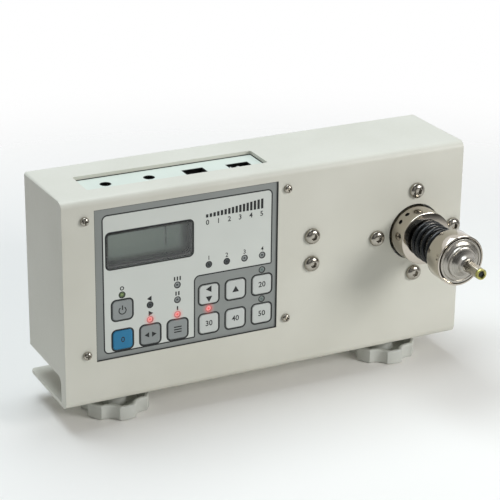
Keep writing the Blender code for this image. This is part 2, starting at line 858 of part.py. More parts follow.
def build_display_board(frame):
    """Circuit board with a tact switch behind each key and a lamp at each hole."""
    bm = bmesh.new()
    prism(bm, rectangle(BOARD_WIDTH, BOARD_HEIGHT), 0, BOARD_THICKNESS, "y")
    place = (OPENING_X, BOARD_Y, MIDDLE_Z)
    board = make_object("display_board", bm, circuit_board(), frame, place)
    parts = bmesh.new()
    within = BOARD_THICKNESS / 2
    for x, z in key_places():
        centre = (x - OPENING_X, z - MIDDLE_Z)
        body = moved(rectangle(SWITCH_SIDE, SWITCH_SIDE), centre)
        prism(parts, body, -SWITCH_BODY, within, "y")
    for x, z in lamp_places():
        centre = (x - OPENING_X, z - MIDDLE_Z)
        reach = BOARD_Y - OVERLAY_FACE_Y
        rings = [
            (moved(circle(LAMP_RADIUS, ROUND_LAMP), centre), within),
            (moved(circle(LAMP_RADIUS, ROUND_LAMP), centre), -reach + LAMP_RADIUS * 0.5),
            (moved(circle(LAMP_RADIUS * 0.6, ROUND_LAMP), centre), -reach + SEAT),
        ]
        loft(parts, rings, "y")
    join(board, "board_switches_and_lamps", parts)
    plungers = bmesh.new()
    for x, z in key_places():
        centre = (x - OPENING_X, z - MIDDLE_Z)
        plunger = moved(circle(SWITCH_PLUNGER_RADIUS, ROUND_LAMP), centre)
        low = -SWITCH_BODY - SWITCH_PLUNGER
        prism(plungers, plunger, low, -SWITCH_BODY / 2, "y")
    join(board, "board_plungers", plungers)
    return board


def build_window(frame):
    """Clear window that lies on the subpanel's ledge inside the overlay's cut-out."""
    outline = rounded_rectangle(
        WINDOW_WIDTH - 2 * SEAT, WINDOW_HEIGHT - 2 * SEAT, WINDOW_CORNER - SEAT
    )
    bm = bmesh.new()
    prism(bm, outline, 0, OVERLAY_THICKNESS - SEAT, "y")
    place = (WINDOW_X, OVERLAY_FACE_Y + SEAT, WINDOW_Z)
    return make_object("display_window", bm, clear_acrylic(), frame, place)


def build_lcd(frame):
    """Liquid crystal module between the subpanel and the board."""
    front = SUBPANEL_Y + SUBPANEL_SHEET + SEAT
    depth = BOARD_Y - SEAT - front
    face = rectangle(LCD_WIDTH - 2 * LCD_BEZEL, LCD_HEIGHT - 2 * LCD_BEZEL)
    rings = [
        (face, 0),
        (rectangle(LCD_WIDTH, LCD_HEIGHT), LCD_BEZEL / 2),
        (rectangle(LCD_WIDTH, LCD_HEIGHT), depth),
    ]
    bm = bmesh.new()
    loft(bm, rings, "y")
    place = (WINDOW_X, front, WINDOW_Z)
    return make_object("lcd_module", bm, display_glass(), frame, place)


def key_mesh():
    """A key cap with an eased front edge and a round stem behind it."""
    steps = 3
    count = 4 * (steps + 1)
    stem_end = BOARD_Y - SWITCH_BODY - SWITCH_PLUNGER - KEY_TRAVEL - SEAT
    face = OVERLAY_FACE_Y - KEY_PROUD
    small = rounded_rectangle(
        KEY_WIDTH - 2 * KEY_EDGE, KEY_HEIGHT - 2 * KEY_EDGE, KEY_CORNER - KEY_EDGE, steps
    )
    full = rounded_rectangle(KEY_WIDTH, KEY_HEIGHT, KEY_CORNER, steps)
    quarter = math.radians(90)
    stem = []
    for side in range(4):
        for step in range(steps + 1):
            share = (step + 0.5) / (steps + 1)
            angle = quarter * (side + share)
            stem.append((KEY_STEM_RADIUS * math.cos(angle), KEY_STEM_RADIUS * math.sin(angle)))
    assert len(stem) == count
    bm = bmesh.new()
    rings = [(small, 0), (full, KEY_EDGE), (full, KEY_THICKNESS), (stem, KEY_THICKNESS)]
    rings.append((stem, stem_end - face))
    loft(bm, rings, "y")
    bmesh.ops.recalc_face_normals(bm, faces=bm.faces)
    mesh = bpy.data.meshes.new("key")
    bm.to_mesh(mesh)
    bm.free()
    return mesh


def build_keys(frame):
    """Ten keys of one shape; each slides in along y from its own origin."""
    shared = key_mesh()
    face = OVERLAY_FACE_Y - KEY_PROUD
    for name, side, column, row, colour in KEYS:
        material = key_film(f"{colour}_key_film", KEY_COLOURS[colour])
        place = (grid_x(side, column), face, grid_z(row))
        place_mesh(name, shared.copy(), material, frame, place, 30)


# Sockets, main board and cells


def build_socket_bracket(frame):
    """Sheet below the top slot that the sockets show through, with a leg for the board."""
    left, right = SLOT_LEFT - BRACKET_MARGIN, SLOT_RIGHT + BRACKET_MARGIN
    front, back = SLOT_FRONT - BRACKET_MARGIN, SLOT_BACK + BRACKET_MARGIN
    bm = bmesh.new()
    low = BRACKET_TOP - BRACKET_SHEET
    block(bm, (left, front, low), (right, back, BRACKET_TOP))
    bracket = make_object("socket_bracket", bm, shell_paint(), frame)
    leg = bmesh.new()
    leg_front = MAIN_BOARD_Y + BOARD_THICKNESS + SEAT
    block(
        leg,
        (left + BRACKET_MARGIN, leg_front, BRACKET_TOP - BRACKET_DROP),
        (right - BRACKET_MARGIN, leg_front + BRACKET_SHEET, low + BRACKET_SHEET / 2),
    )
    join(bracket, "bracket_leg", leg)
    holes = bmesh.new()
    bottom, top = low - BRACKET_SHEET, BRACKET_TOP + BRACKET_SHEET
    jacks = [(DC_JACK_X, JACK_Y), (OUTPUT_JACK_X, JACK_Y)]
    add_bore(holes, jacks, JACK_HOLE_RADIUS, bottom, top, "z", 24)
    prism(holes, moved(rectangle(*MODULAR_HOLE), (MODULAR_X, MODULAR_Y)), bottom, top)
    prism(holes, moved(rectangle(*SERIAL_HOLE), (SERIAL_X, SERIAL_Y)), bottom, top)
    cut(bracket, "bracket_holes", holes)
    return bracket


def build_jack(frame, name, x):
    """Round socket soldered to the main board, open at the top."""
    board_side = MAIN_BOARD_Y - SEAT - JACK_Y
    bm = bmesh.new()
    block(
        bm,
        (-JACK_BODY_WIDTH / 2, -JACK_BODY_WIDTH / 2, -SOCKET_DEPTH),
        (JACK_BODY_WIDTH / 2, board_side, 0),
    )
    jack = make_object(name, bm, black_plastic(), frame, (x, JACK_Y, SOCKET_TOP))
    bore = bmesh.new()
    depth = -SOCKET_DEPTH + SOCKET_WALL
    prism(bore, circle(JACK_BORE_RADIUS, 24), depth, SOCKET_WALL)
    cut(jack, name + "_bore", bore)
    return jack


def build_square_socket(frame, name, place, bore_size, tongue=None):
    """Rectangular socket soldered to the main board, open at the top."""
    x, y = place
    board_side = MAIN_BOARD_Y - SEAT - y
    half_x = bore_size[0] / 2 + SOCKET_WALL
    half_y = bore_size[1] / 2 + SOCKET_WALL
    bm = bmesh.new()
    block(bm, (-half_x, -half_y, -SOCKET_DEPTH), (half_x, board_side, 0))
    socket = make_object(name, bm, black_plastic(), frame, (x, y, SOCKET_TOP))
    bore = bmesh.new()
    floor = -SOCKET_DEPTH + SOCKET_WALL
    prism(bore, rectangle(*bore_size), floor, SOCKET_WALL)
    cut(socket, name + "_bore", bore)
    if tongue:
        inner = bmesh.new()
        shift = (0, -bore_size[1] / 2 + tongue[1])
        prism(inner, moved(rectangle(*tongue), shift), floor - SOCKET_WALL / 2, -TONGUE_BELOW_RIM)
        join(socket, name + "_tongue", inner)
    return socket


def build_main_board(frame):
    """Upright board that carries the four sockets."""
    bm = bmesh.new()
    prism(bm, rectangle(MAIN_BOARD_WIDTH, MAIN_BOARD_HEIGHT), 0, BOARD_THICKNESS, "y")
    centre_x = (SLOT_LEFT + SLOT_RIGHT) / 2
    place = (centre_x, MAIN_BOARD_Y, MAIN_BOARD_TOP - MAIN_BOARD_HEIGHT / 2)
    board = make_object("main_board", bm, circuit_board(), frame, place)
    chips = bmesh.new()
    for x, z, width, height in (
        (-0.030, 0.002, 0.022, 0.022),
        (0.012, -0.004, 0.014, 0.010),
        (0.040, -0.010, 0.018, 0.012),
    ):
        chip = moved(rectangle(width, height), (x, z))
        prism(chips, chip, -CHIP_THICKNESS, BOARD_THICKNESS / 2, "y")
    join(board, "board_chips", chips)
    return board


def build_cells(frame):
    """A row of round cells in one wrap, lying along x in its tray."""
    radius = CELL_RADIUS
    pitch = 2 * radius - SEAT
    row = pitch * (CELL_COUNT - 1) + 2 * radius
    length = CELL_LENGTH + 2 * TRAY_WALL + 2 * SEAT
    width = row + 2 * TRAY_WALL + 2 * SEAT
    bm = bmesh.new()
    block(bm, (-length / 2, -width / 2, 0), (length / 2, width / 2, TRAY_HEIGHT))
    tray_y = COVER_INNER_Y - TRAY_BEFORE_COVER - width / 2
    place = (TRAY_X, tray_y, TRAY_FLOOR)
    tray = make_object("cell_tray", bm, black_plastic(), frame, place)
    inside = bmesh.new()
    half = (length / 2 - TRAY_WALL, width / 2 - TRAY_WALL)
    block(inside, (-half[0], -half[1], TRAY_WALL), (half[0], half[1], TRAY_HEIGHT * 2))
    cut(tray, "tray_hollow", inside)

    outline = []
    for index in range(CELL_COUNT):
        centre = pitch * (index - (CELL_COUNT - 1) / 2)
        first = -135 if index else -180
        last = -45 if index < CELL_COUNT - 1 else 0
        for step in range(7):
            angle = math.radians(first + (last - first) * step / 6)
            outline.append((centre + radius * math.cos(angle), radius * math.sin(angle)))
    upper = [(-y, -z) for y, z in outline]
    wrap = bmesh.new()
    prism(wrap, outline + upper, -CELL_LENGTH / 2, CELL_LENGTH / 2, "x")
    make_object(
        "cell_pack", wrap, cell_wrap(), frame, (TRAY_X, tray_y, CELLS_TOP - radius)
    )


# Torque sensor


def build_bearing_housing(frame):
    """Flanged housing bolted behind the panel, bored for two bearings."""
    bm = bmesh.new()
    profile = [
        (HOUSING_FLANGE_RADIUS, 0),
        (HOUSING_FLANGE_RADIUS, HOUSING_FLANGE),
        (HOUSING_RADIUS, HOUSING_FLANGE),
        (HOUSING_RADIUS, HOUSING_LENGTH),
    ]
    turned(bm, profile, ROUND_FINE)
    place = (AXIS_X, SUBPANEL_Y, MIDDLE_Z)
    housing = make_object("bearing_housing", bm, aluminium(), frame, place)
    bore = bmesh.new()
    seat = BEARING_OUTER + SEAT
    shoulder = BEARING_OUTER - BEARING_SHOULDER
    first_end = BEARING_FIRST_Y + BEARING_WIDTH + SEAT - SUBPANEL_Y
    second = first_end + BEARING_SPACER - 2 * SEAT
    beyond = SHEET
    turned(
        bore,
        [
            (seat, -beyond),
            (seat, first_end),
            (shoulder, first_end),
            (shoulder, second),
            (seat, second),
            (seat, HOUSING_LENGTH + beyond),
        ],
        ROUND_FINE,
    )
    cut(housing, "housing_bore", bore)
    flats = bmesh.new()
    for side in (-1, 1):
        low, high = sorted((side * HOUSING_FLAT, side * HOUSING_FLANGE_RADIUS * 1.2))
        reach = HOUSING_FLANGE_RADIUS
        block(flats, (low, -beyond, -reach), (high, HOUSING_LENGTH, reach))
    places = [(x - AXIS_X, z - MIDDLE_Z) for x, z in sensor_screw_places()]
    add_bore(flats, places[1:2] + places[3:], LARGE_SCREW[0] + SEAT, -beyond, HOUSING_LENGTH)
    cut(housing, "housing_flats", flats)
    side_holes = bmesh.new()
    add_bore(
        side_holes, places[0:1] + places[2:3], LARGE_SCREW[0] + SEAT, -beyond, HOUSING_LENGTH
    )
    cut(housing, "housing_side_holes", side_holes)
    return housing


def build_bearings(frame):
    """Two ball bearings in the housing, each drawn as its outer envelope."""
    inner, outer = BEARING_INNER + SEAT, BEARING_OUTER
    chamfer = BEARING_CHAMFER
    for name, start in (
        ("front_bearing", BEARING_FIRST_Y),
        ("rear_bearing", BEARING_FIRST_Y + BEARING_WIDTH + BEARING_SPACER),
    ):
        bm = bmesh.new()
        profile = [
            (inner, 0),
            (outer - chamfer, 0),
            (outer, chamfer),
            (outer, BEARING_WIDTH - chamfer),
            (outer - chamfer, BEARING_WIDTH),
            (inner, BEARING_WIDTH),
        ]
        turned_ring(bm, profile, ROUND)
        make_object(name, bm, turned_steel(), frame, (AXIS_X, start, MIDDLE_Z))


def build_torque_shaft(frame):
    """Shaft in the bearings, with a square socket for the adapter's drive."""
    start = COLLAR_BACK + SEAT
    first_end = BEARING_FIRST_Y + BEARING_WIDTH + SEAT - start
    second = first_end + BEARING_SPACER - 2 * SEAT
    bm = bmesh.new()
    profile = [
        (BEARING_INNER, 0),
        (BEARING_INNER, first_end),
        (SHAFT_SHOULDER, first_end),
        (SHAFT_SHOULDER, second),
        (BEARING_INNER, second),
        (BEARING_INNER, SHAFT_LENGTH),
    ]
    turned(bm, profile, ROUND)
    place = (AXIS_X, start, MIDDLE_Z)
    shaft = make_object("torque_shaft", bm, turned_steel(), frame, place)
    socket = bmesh.new()
    side = DRIVE_SQUARE + 2 * SEAT
    prism(socket, rectangle(side, side), -SHEET, DRIVE_LENGTH + RUNNING_GAP, "y")
    cut(shaft, "shaft_socket", socket)
    return shaft


def arm_y():
    """Front face of the lever arm, just behind the rear bearing."""
    return SUBPANEL_Y + HOUSING_LENGTH + RUNNING_GAP


def build_lever_arm(frame):
    """Arm clamped to the shaft; its end meets the load cell."""
    bm = bmesh.new()
    turned(bm, [(ARM_RADIUS, 0), (ARM_RADIUS, ARM_THICKNESS)], ROUND)
    arm = make_object("lever_arm", bm, aluminium(), frame, (AXIS_X, arm_y(), MIDDLE_Z))
    bar = bmesh.new()
    half = ARM_HEIGHT / 2
    block(bar, (-ARM_REACH, 0, -half), (-ARM_RADIUS / 2, ARM_THICKNESS, half))
    join(arm, "arm_bar", bar)
    bore = bmesh.new()
    prism(bore, circle(BEARING_INNER + SEAT, ROUND), -SHEET, ARM_THICKNESS + SHEET, "y")
    cut(arm, "arm_bore", bore)
    slit = bmesh.new()
    block(
        slit,
        (BEARING_INNER / 2, -SHEET, -CLAMP_SLIT / 2),
        (ARM_RADIUS + SHEET, ARM_THICKNESS + SHEET, CLAMP_SLIT / 2),
    )
    cut(arm, "arm_slit", slit)
    return arm


def build_load_cell(frame):
    """Bar with a double hole that bends a little when the arm pushes on it."""
    right = AXIS_X - ARM_REACH - SEAT
    left = BEAM_SCREW_X - FOOT_WIDTH / 2
    middle = (left + right) / 2
    half = (right - left) / 2
    bm = bmesh.new()
    block(bm, (-half, 0, -BEAM_HEIGHT / 2), (half, BEAM_THICKNESS, BEAM_HEIGHT / 2))
    front = arm_y()
    cell = make_object("load_cell", bm, aluminium(), frame, (middle, front, MIDDLE_Z))
    for side in (-1, 1):
        hole = bmesh.new()
        centre = (side * BEAM_HOLE_SPREAD, 0)
        bore = moved(circle(BEAM_HOLE_RADIUS, ROUND_SMALL), centre)
        prism(hole, bore, -SHEET, BEAM_THICKNESS + SHEET, "y")
        cut(cell, f"cell_hole_{side + 2}", hole)

    foot = bmesh.new()
    low_x = -FOOT_WIDTH / 2
    block(
        foot, (low_x, 0, -FOOT_HEIGHT / 2), (-low_x, FOOT_THICKNESS, FOOT_HEIGHT / 2)
    )
    place = (BEAM_SCREW_X, SUBPANEL_Y, MIDDLE_Z)
    bracket = make_object("load_cell_bracket", foot, zinc_plate(), frame, place)
    post = bmesh.new()
    post_end = front - SEAT - SUBPANEL_Y
    block(
        post,
        (low_x, FOOT_THICKNESS / 2, -BEAM_HEIGHT / 2),
        (low_x + POST_WIDTH, post_end, BEAM_HEIGHT / 2),
    )
    join(bracket, "bracket_post", post)
    holes = bmesh.new()
    places = [(0, z - MIDDLE_Z) for _, z in beam_screw_places()]
    depth = LARGE_SCREW[3] - SHEET
    add_bore(holes, places, LARGE_SCREW[0] + SEAT, -SHEET, depth)
    cut(bracket, "bracket_screw_holes", holes)


# Run-down adapter


def set_screw_cutter(angle):
    """A short bore into the collar's side at this angle round the axis."""
    outward = Vector((math.cos(angle), 0, math.sin(angle)))
    across = Vector((math.sin(angle), 0, -math.cos(angle)))
    centre = Vector((0, SET_SCREW_Y, 0))
    bm = bmesh.new()
    loops = []
    for reach in (COLLAR_RADIUS - SET_SCREW_DEPTH, COLLAR_RADIUS + SHEET):
        loops.append(
            [
                bm.verts.new(centre + outward * reach + across * u + Vector((0, v, 0)))
                for u, v in circle(SET_SCREW_RADIUS, ROUND_SMALL)
            ]
        )
    low, high = loops
    for i in range(ROUND_SMALL):
        k = (i + 1) % ROUND_SMALL
        bm.faces.new((low[i], low[k], high[k], high[i]))
    bm.faces.new(reversed(low))
    bm.faces.new(high)
    return bm


def build_adapter_base(frame):
    """Collar that plugs into the torque shaft, with a pilot for the spring."""
    edge = TURNED_EDGE
    bm = bmesh.new()
    profile = [
        (COLLAR_RADIUS - edge, COLLAR_BACK),
        (COLLAR_RADIUS, COLLAR_BACK - edge),
        (COLLAR_RADIUS, -COLLAR_FRONT + edge),
        (COLLAR_RADIUS - edge, -COLLAR_FRONT),
        (PILOT_RADIUS, -COLLAR_FRONT),
        (PILOT_RADIUS, -COLLAR_FRONT - PILOT_LENGTH + edge),
        (PILOT_RADIUS - edge, -COLLAR_FRONT - PILOT_LENGTH),
    ]
    turned(bm, profile, ROUND_FINE)
    place = (AXIS_X, 0, MIDDLE_Z)
    base = make_object("adapter_base", bm, polished_nickel(), frame, place)
    drive = bmesh.new()
    square = rounded_rectangle(DRIVE_SQUARE, DRIVE_SQUARE, DRIVE_CORNER, 2)
    prism(drive, square, -COLLAR_FRONT / 2, COLLAR_BACK + DRIVE_LENGTH, "y")
    join(base, "adapter_square_drive", drive)
    bore = bmesh.new()
    radius = BOLT_RADIUS + SEAT
    end = -BOLT_THREAD_END + ADAPTER_TRAVEL + RUNNING_GAP
    turned(bore, [(radius, -COLLAR_FRONT * 2), (radius, end)], ROUND_SMALL)
    cut(base, "adapter_thread_bore", bore)
    for number, angle in enumerate(SET_SCREW_ANGLES, 1):
        cut(base, f"adapter_set_screw_{number}", set_screw_cutter(math.radians(angle)))
    return base


def spring_centre_line():
    """Points of the coil: two close end turns and open turns between, as (angle, y)."""
    start = COLLAR_FRONT + SEAT + SPRING_WIRE / 2
    end = CUP_FRONT - CUP_LENGTH - SEAT - SPRING_WIRE / 2
    end_rise = SPRING_END_TURNS * SPRING_END_PITCH
    open_rise = end - start - 2 * end_rise
    open_turns = open_rise / SPRING_PITCH
    stations = ((0, 0), (SPRING_END_TURNS, end_rise))
    stations += ((SPRING_END_TURNS + open_turns, end_rise + open_rise),)
    stations += ((2 * SPRING_END_TURNS + open_turns, 2 * end_rise + open_rise),)
    total = stations[-1][0]
    steps_per_turn = 18
    count = math.ceil(total * steps_per_turn)
    line = []
    for step in range(count + 1):
        turn = total * step / count
        for (turn_a, rise_a), (turn_b, rise_b) in zip(stations, stations[1:]):
            if turn <= turn_b + 1e-9:
                share = (turn - turn_a) / (turn_b - turn_a)
                line.append((math.tau * turn, start + rise_a + (rise_b - rise_a) * share))
                break
    return line


def build_spring(frame):
    """Compression spring: a round wire swept along the coil, turn by turn."""
    mean = SPRING_RADIUS - SPRING_WIRE / 2
    sides = 6
    line = [
        Vector((mean * math.cos(angle), -place, mean * math.sin(angle)))
        for angle, place in spring_centre_line()
    ]
    bm = bmesh.new()
    loops = []
    for i, point in enumerate(line):
        ahead = line[min(i + 1, len(line) - 1)]
        behind = line[max(i - 1, 0)]
        along = (ahead - behind).normalized()
        outward = Vector((point.x, 0, point.z)).normalized()
        across = along.cross(outward).normalized()
        outward = across.cross(along).normalized()
        loop = []
        for k in range(sides):
            angle = math.tau * (k + 0.5) / sides
            offset = outward * math.cos(angle) + across * math.sin(angle)
            loop.append(bm.verts.new(point + offset * SPRING_WIRE / 2))
        loops.append(loop)
    for low, high in zip(loops, loops[1:]):
        for k in range(sides):
            n = (k + 1) % sides
            bm.faces.new((low[k], low[n], high[n], high[k]))
    bm.faces.new(reversed(loops[0]))
    bm.faces.new(loops[-1])
    place = (AXIS_X, 0, MIDDLE_Z)
    return make_object("adapter_spring", bm, black_spring_steel(), frame, place, 60)


def build_cup(carrier):
    """Cup that presses the spring; its open front holds the thrust bearing and disc."""
    front, back = -CUP_FRONT, -CUP_FRONT + CUP_LENGTH
    floor = back - CUP_FLOOR
    edge = TURNED_EDGE
    inside = CUP_RADIUS - CUP_RIM
    profile = [
        (BOLT_RADIUS + SEAT, floor),
        (inside, floor),
        (inside, front),
        (CUP_RADIUS - edge, front),
        (CUP_RADIUS, front + edge),
        (CUP_RADIUS, back - edge),
        (CUP_RADIUS - edge, back),
        (PILOT_RADIUS, back),
        (PILOT_RADIUS, back + PILOT_LENGTH),
        (BOLT_RADIUS + SEAT, back + PILOT_LENGTH),
    ]
    bm = bmesh.new()
    turned_ring(bm, profile, ROUND_FINE)
    return make_object("adapter_cup", bm, polished_nickel(), carrier)


def build_thrust_bearing(carrier):
    """Flat bearing between the cup's floor and the turning disc."""
    inner, outer, thick = BEARING_RING
    start = -CUP_FRONT + CUP_LENGTH - CUP_FLOOR - SEAT - thick
    bm = bmesh.new()
    turned_ring(
        bm, [(inner, start), (outer, start), (outer, start + thick), (inner, start + thick)], ROUND
    )
    return make_object("thrust_bearing", bm, turned_steel(), carrier)


def build_thrust_disc(turner):
    """Turned disc on the bolt, stepped up to a cone round the hexagon."""
    back = -CUP_FRONT + CUP_LENGTH - CUP_FLOOR - 2 * SEAT - BEARING_RING[2]
    face = -CUP_FRONT - DISC_PROUD
    boss = -CUP_FRONT - BOSS_PROUD
    top = -CUP_FRONT - CONE_PROUD
    edge = TURNED_EDGE
    bore = BOLT_RADIUS + SEAT
    profile = [
        (bore, back),
        (DISC_RADIUS, back),
        (DISC_RADIUS, face + edge),
        (DISC_RADIUS - edge, face),
        (BOSS_RADIUS + DISC_STEP, face - edge / 2),
        (BOSS_RADIUS, boss + edge),
        (BOSS_RADIUS - edge, boss),
        (CONE_RADIUS, boss),
        (CONE_TOP_RADIUS + CONE_EASE, top + CONE_EASE),
        (CONE_TOP_RADIUS, top),
        (bore, top),
    ]
    bm = bmesh.new()
    turned_ring(bm, profile, ROUND_FINE)
    return make_object("thrust_disc", bm, turned_steel(), turner)


def build_drive_bolt(turner):
    """Bolt that a screwdriver bit turns: threaded shank, hexagon and socketed tip."""
    top = -CUP_FRONT - CONE_PROUD
    shank_end = -BOLT_THREAD_END
    bm = bmesh.new()
    profile = [
        (BOLT_RADIUS - THREAD_CHAMFER, shank_end),
        (BOLT_RADIUS, shank_end - THREAD_CHAMFER),
        (BOLT_RADIUS, top + SEAT),
        (HEX_FLATS / 2 - SEAT, top - SEAT),
        (HEX_FLATS / 2 - SEAT, -HEX_FRONT + SEAT),
        (TIP_RADIUS - SEAT, -HEX_FRONT),
        (TIP_RADIUS, -HEX_FRONT - SEAT),
        (TIP_RADIUS, -TIP_FRONT + SEAT),
        (TIP_RADIUS - SEAT, -TIP_FRONT),
    ]
    turned(bm, profile, ROUND_SMALL + 2)
    bolt = make_object("drive_bolt", bm, polished_nickel(), turner)
    shank = bmesh.new()
    prism(shank, hexagon(HEX_FLATS, 0), top + SEAT, -HEX_FRONT - SEAT, "y")
    join(bolt, "bolt_hexagon", shank)
    socket = bmesh.new()
    flats = hexagon(TIP_SOCKET_FLATS)
    prism(socket, flats, -TIP_FRONT - SEAT, -TIP_FRONT + TIP_SOCKET_DEPTH, "y")
    cut(bolt, "bolt_socket", socket)
    return bolt


def build_adapter(frame):
    """The whole run-down adapter: a fixed base, a sliding cup and a turning bolt."""
    build_adapter_base(frame)
    build_spring(frame)
    carrier = make_empty("cup_slide_axis", frame, (AXIS_X, 0, MIDDLE_Z))
    build_cup(carrier)
    build_thrust_bearing(carrier)
    turner = make_empty("bolt_turn_axis", carrier, (0, 0, 0))
    build_thrust_disc(turner)
    build_drive_bolt(turner)


# Clamp knobs


def knob_outline(inset, flute_angle):
    """Lobed outline: arcs of the knob's radius between hollow flutes.

    The inset moves the lobes in and the flutes in by the same amount.
    """
    half_flute = math.radians(KNOB_FLUTE_ANGLE / 2)
    chord = KNOB_RADIUS * math.sin(half_flute)
    centre_distance = KNOB_RADIUS * math.cos(half_flute) + math.sqrt(
        KNOB_FLUTE_RADIUS**2 - chord**2
    )
    flute_radius = KNOB_FLUTE_RADIUS + inset
    lobe_radius = KNOB_RADIUS - inset
    # Where the two inset arcs cross, seen from the flute's own direction
    cosine = (centre_distance**2 + lobe_radius**2 - flute_radius**2) / (
        2 * centre_distance * lobe_radius
    )
    cross_angle = math.acos(cosine)
    swing = math.asin(lobe_radius * math.sin(cross_angle) / flute_radius)
    sector = math.tau / KNOB_LOBES
    flute_steps, lobe_steps = 4, 3
    points = []
    for lobe in range(KNOB_LOBES):
        facing = math.radians(flute_angle) + sector * lobe
        for step in range(flute_steps + 1):
            share = -1 + 2 * step / flute_steps
            local = (
                centre_distance - flute_radius * math.cos(swing * share),
                flute_radius * math.sin(swing * share),
            )
            points.append(
                (
                    local[0] * math.cos(facing) - local[1] * math.sin(facing),
                    local[0] * math.sin(facing) + local[1] * math.cos(facing),
                )
            )
        lobe_span = sector - 2 * cross_angle
        for step in range(1, lobe_steps):
            angle = facing + cross_angle + lobe_span * step / lobe_steps
            points.append((lobe_radius * math.cos(angle), lobe_radius * math.sin(angle)))
    return points


def matched_circle(radius, outline):
    """A circle with one point in the direction of each point of an outline."""
    return [
        (radius * math.cos(math.atan2(y, x)), radius * math.sin(math.atan2(y, x)))
        for x, y in outline
    ]


def hub_top():
    """Top of the knob's hub, below the washer."""
    return -2 * SEAT - WASHER_THICKNESS


def build_knob(name, carrier, flute_angle):
    """Moulded star knob: a lobed wall round an open hollow, with a hub for the stud."""
    outer = knob_outline(0, flute_angle)
    eased = knob_outline(KNOB_CHAMFER, flute_angle)
    inner = knob_outline(KNOB_WALL, flute_angle)
    top, bottom = -KNOB_GAP, -KNOB_GAP - KNOB_HEIGHT
    hub = matched_circle(KNOB_HUB_RADIUS, outer)
    bore = matched_circle(STUD_RADIUS + SEAT, outer)
    rings = [
        (eased, bottom),
        (outer, bottom + KNOB_CHAMFER),
        (outer, top - KNOB_CHAMFER),
        (eased, top),
        (inner, top),
        (inner, bottom + KNOB_FLOOR),
        (hub, bottom + KNOB_FLOOR),
        (hub, hub_top()),
        (bore, hub_top()),
        (bore, bottom + KNOB_FLOOR / 2),
    ]
    bm = bmesh.new()
    loft(bm, rings)
    return make_object(name, bm, knob_plastic(), carrier)


def build_stud(name, carrier):
    """Threaded stud moulded into the knob, up through the base plate and its nut."""
    bottom = -KNOB_GAP - KNOB_HEIGHT + KNOB_FLOOR / 2 + SEAT
    profile = [
        (STUD_RADIUS, bottom),
        (STUD_RADIUS, STUD_TOP - THREAD_CHAMFER),
        (STUD_RADIUS - THREAD_CHAMFER, STUD_TOP),
    ]
    bm = bmesh.new()
    turned(bm, profile, ROUND_SMALL, "z")
    return make_object(name, bm, turned_steel(), carrier)


def build_washer(name, carrier):
    """Washer between the hub and the base plate; it travels with the knob."""
    inner, outer = STUD_RADIUS + RUNNING_GAP, WASHER_RADIUS
    top, bottom = -SEAT, -SEAT - WASHER_THICKNESS
    bm = bmesh.new()
    turned_ring(bm, [(outer, bottom), (outer, top), (inner, top), (inner, bottom)], ROUND, "z")
    return make_object(name, bm, turned_steel(), carrier)


def build_weld_nut(name, frame, place):
    """Nut welded on the base plate, which the stud screws through."""
    bm = bmesh.new()
    low, high = SHEET + SEAT, SHEET + SEAT + NUT_HEIGHT
    prism(bm, hexagon(NUT_FLATS), low, high)
    nut = make_object(name, bm, zinc_plate(), frame, (*place, 0))
    bore = bmesh.new()
    prism(bore, circle(STUD_RADIUS + SEAT, 24), 0, high + SHEET)
    cut(nut, name + "_thread", bore)
    return nut


def build_clamp_knobs(frame):
    """Two clamp screws; each slides with its washer and turns in it."""
    for side, x, flute_angle in (
        ("left", KNOB_X, LEFT_FLUTE_ANGLE),
        ("right", BODY_WIDTH - KNOB_X, RIGHT_FLUTE_ANGLE),
    ):
        carrier = make_empty(f"{side}_knob_slide_axis", frame, (x, KNOB_Y, 0))
        build_washer(f"{side}_knob_washer", carrier)
        turner = make_empty(f"{side}_knob_turn_axis", carrier, (0, 0, 0))
        build_knob(f"{side}_clamp_knob", turner, flute_angle)
        build_stud(f"{side}_knob_stud", turner)
        build_weld_nut(f"{side}_weld_nut", frame, (x, KNOB_Y))


def build_fasteners(frame):
    """All screws that show from outside."""
    cross = cross_outline(SMALL_CROSS)
    socket = hexagon(LARGE_SOCKET_FLATS)
    build_screws(frame, "panel_screw", SMALL_SCREW, cross, panel_screw_places(), 0)
    build_screws(frame, "sensor_screw", LARGE_SCREW, socket, sensor_screw_places(), 0)
    build_screws(frame, "load_cell_screw", LARGE_SCREW, socket, beam_screw_places(), 0)
    build_screws(
        frame, "rear_cover_screw", COVER_SCREW, cross, cover_screw_places(), BODY_DEPTH, -1
    )


def build_torque_meter():
    """All pieces, under one frame at the middle of the object's underside."""
    clear_scene()
    middle_y = (FRONT_OF_OBJECT + REAR_OF_OBJECT) / 2
    frame = make_empty("meter_frame", None, (-BODY_WIDTH / 2, -middle_y, -UNDERSIDE))
    build_main_shell(frame)
    build_rear_cover(frame)
    build_fasteners(frame)
    build_overlay(frame)
    build_subpanel(frame)
    build_display_board(frame)
    build_window(frame)
    build_lcd(frame)
    build_keys(frame)
    build_socket_bracket(frame)
    build_jack(frame, "dc_power_jack", DC_JACK_X)
    build_jack(frame, "signal_output_jack", OUTPUT_JACK_X)
    build_square_socket(frame, "modular_socket", (MODULAR_X, MODULAR_Y), MODULAR_BORE)
    build_square_socket(
        frame, "serial_socket", (SERIAL_X, SERIAL_Y), SERIAL_BORE, SERIAL_TONGUE
    )
    build_main_board(frame)
    build_cells(frame)
    build_bearing_housing(frame)
    build_bearings(frame)
    build_torque_shaft(frame)
    build_lever_arm(frame)
    build_load_cell(frame)
    build_adapter(frame)
    build_clamp_knobs(frame)


build_torque_meter()
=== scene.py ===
"""The looks of a bench torque meter: ivory case, keypad, sockets, run-down adapter, knobs."""

import json
import math

import bmesh
import bpy
from mathutils import Matrix, Vector


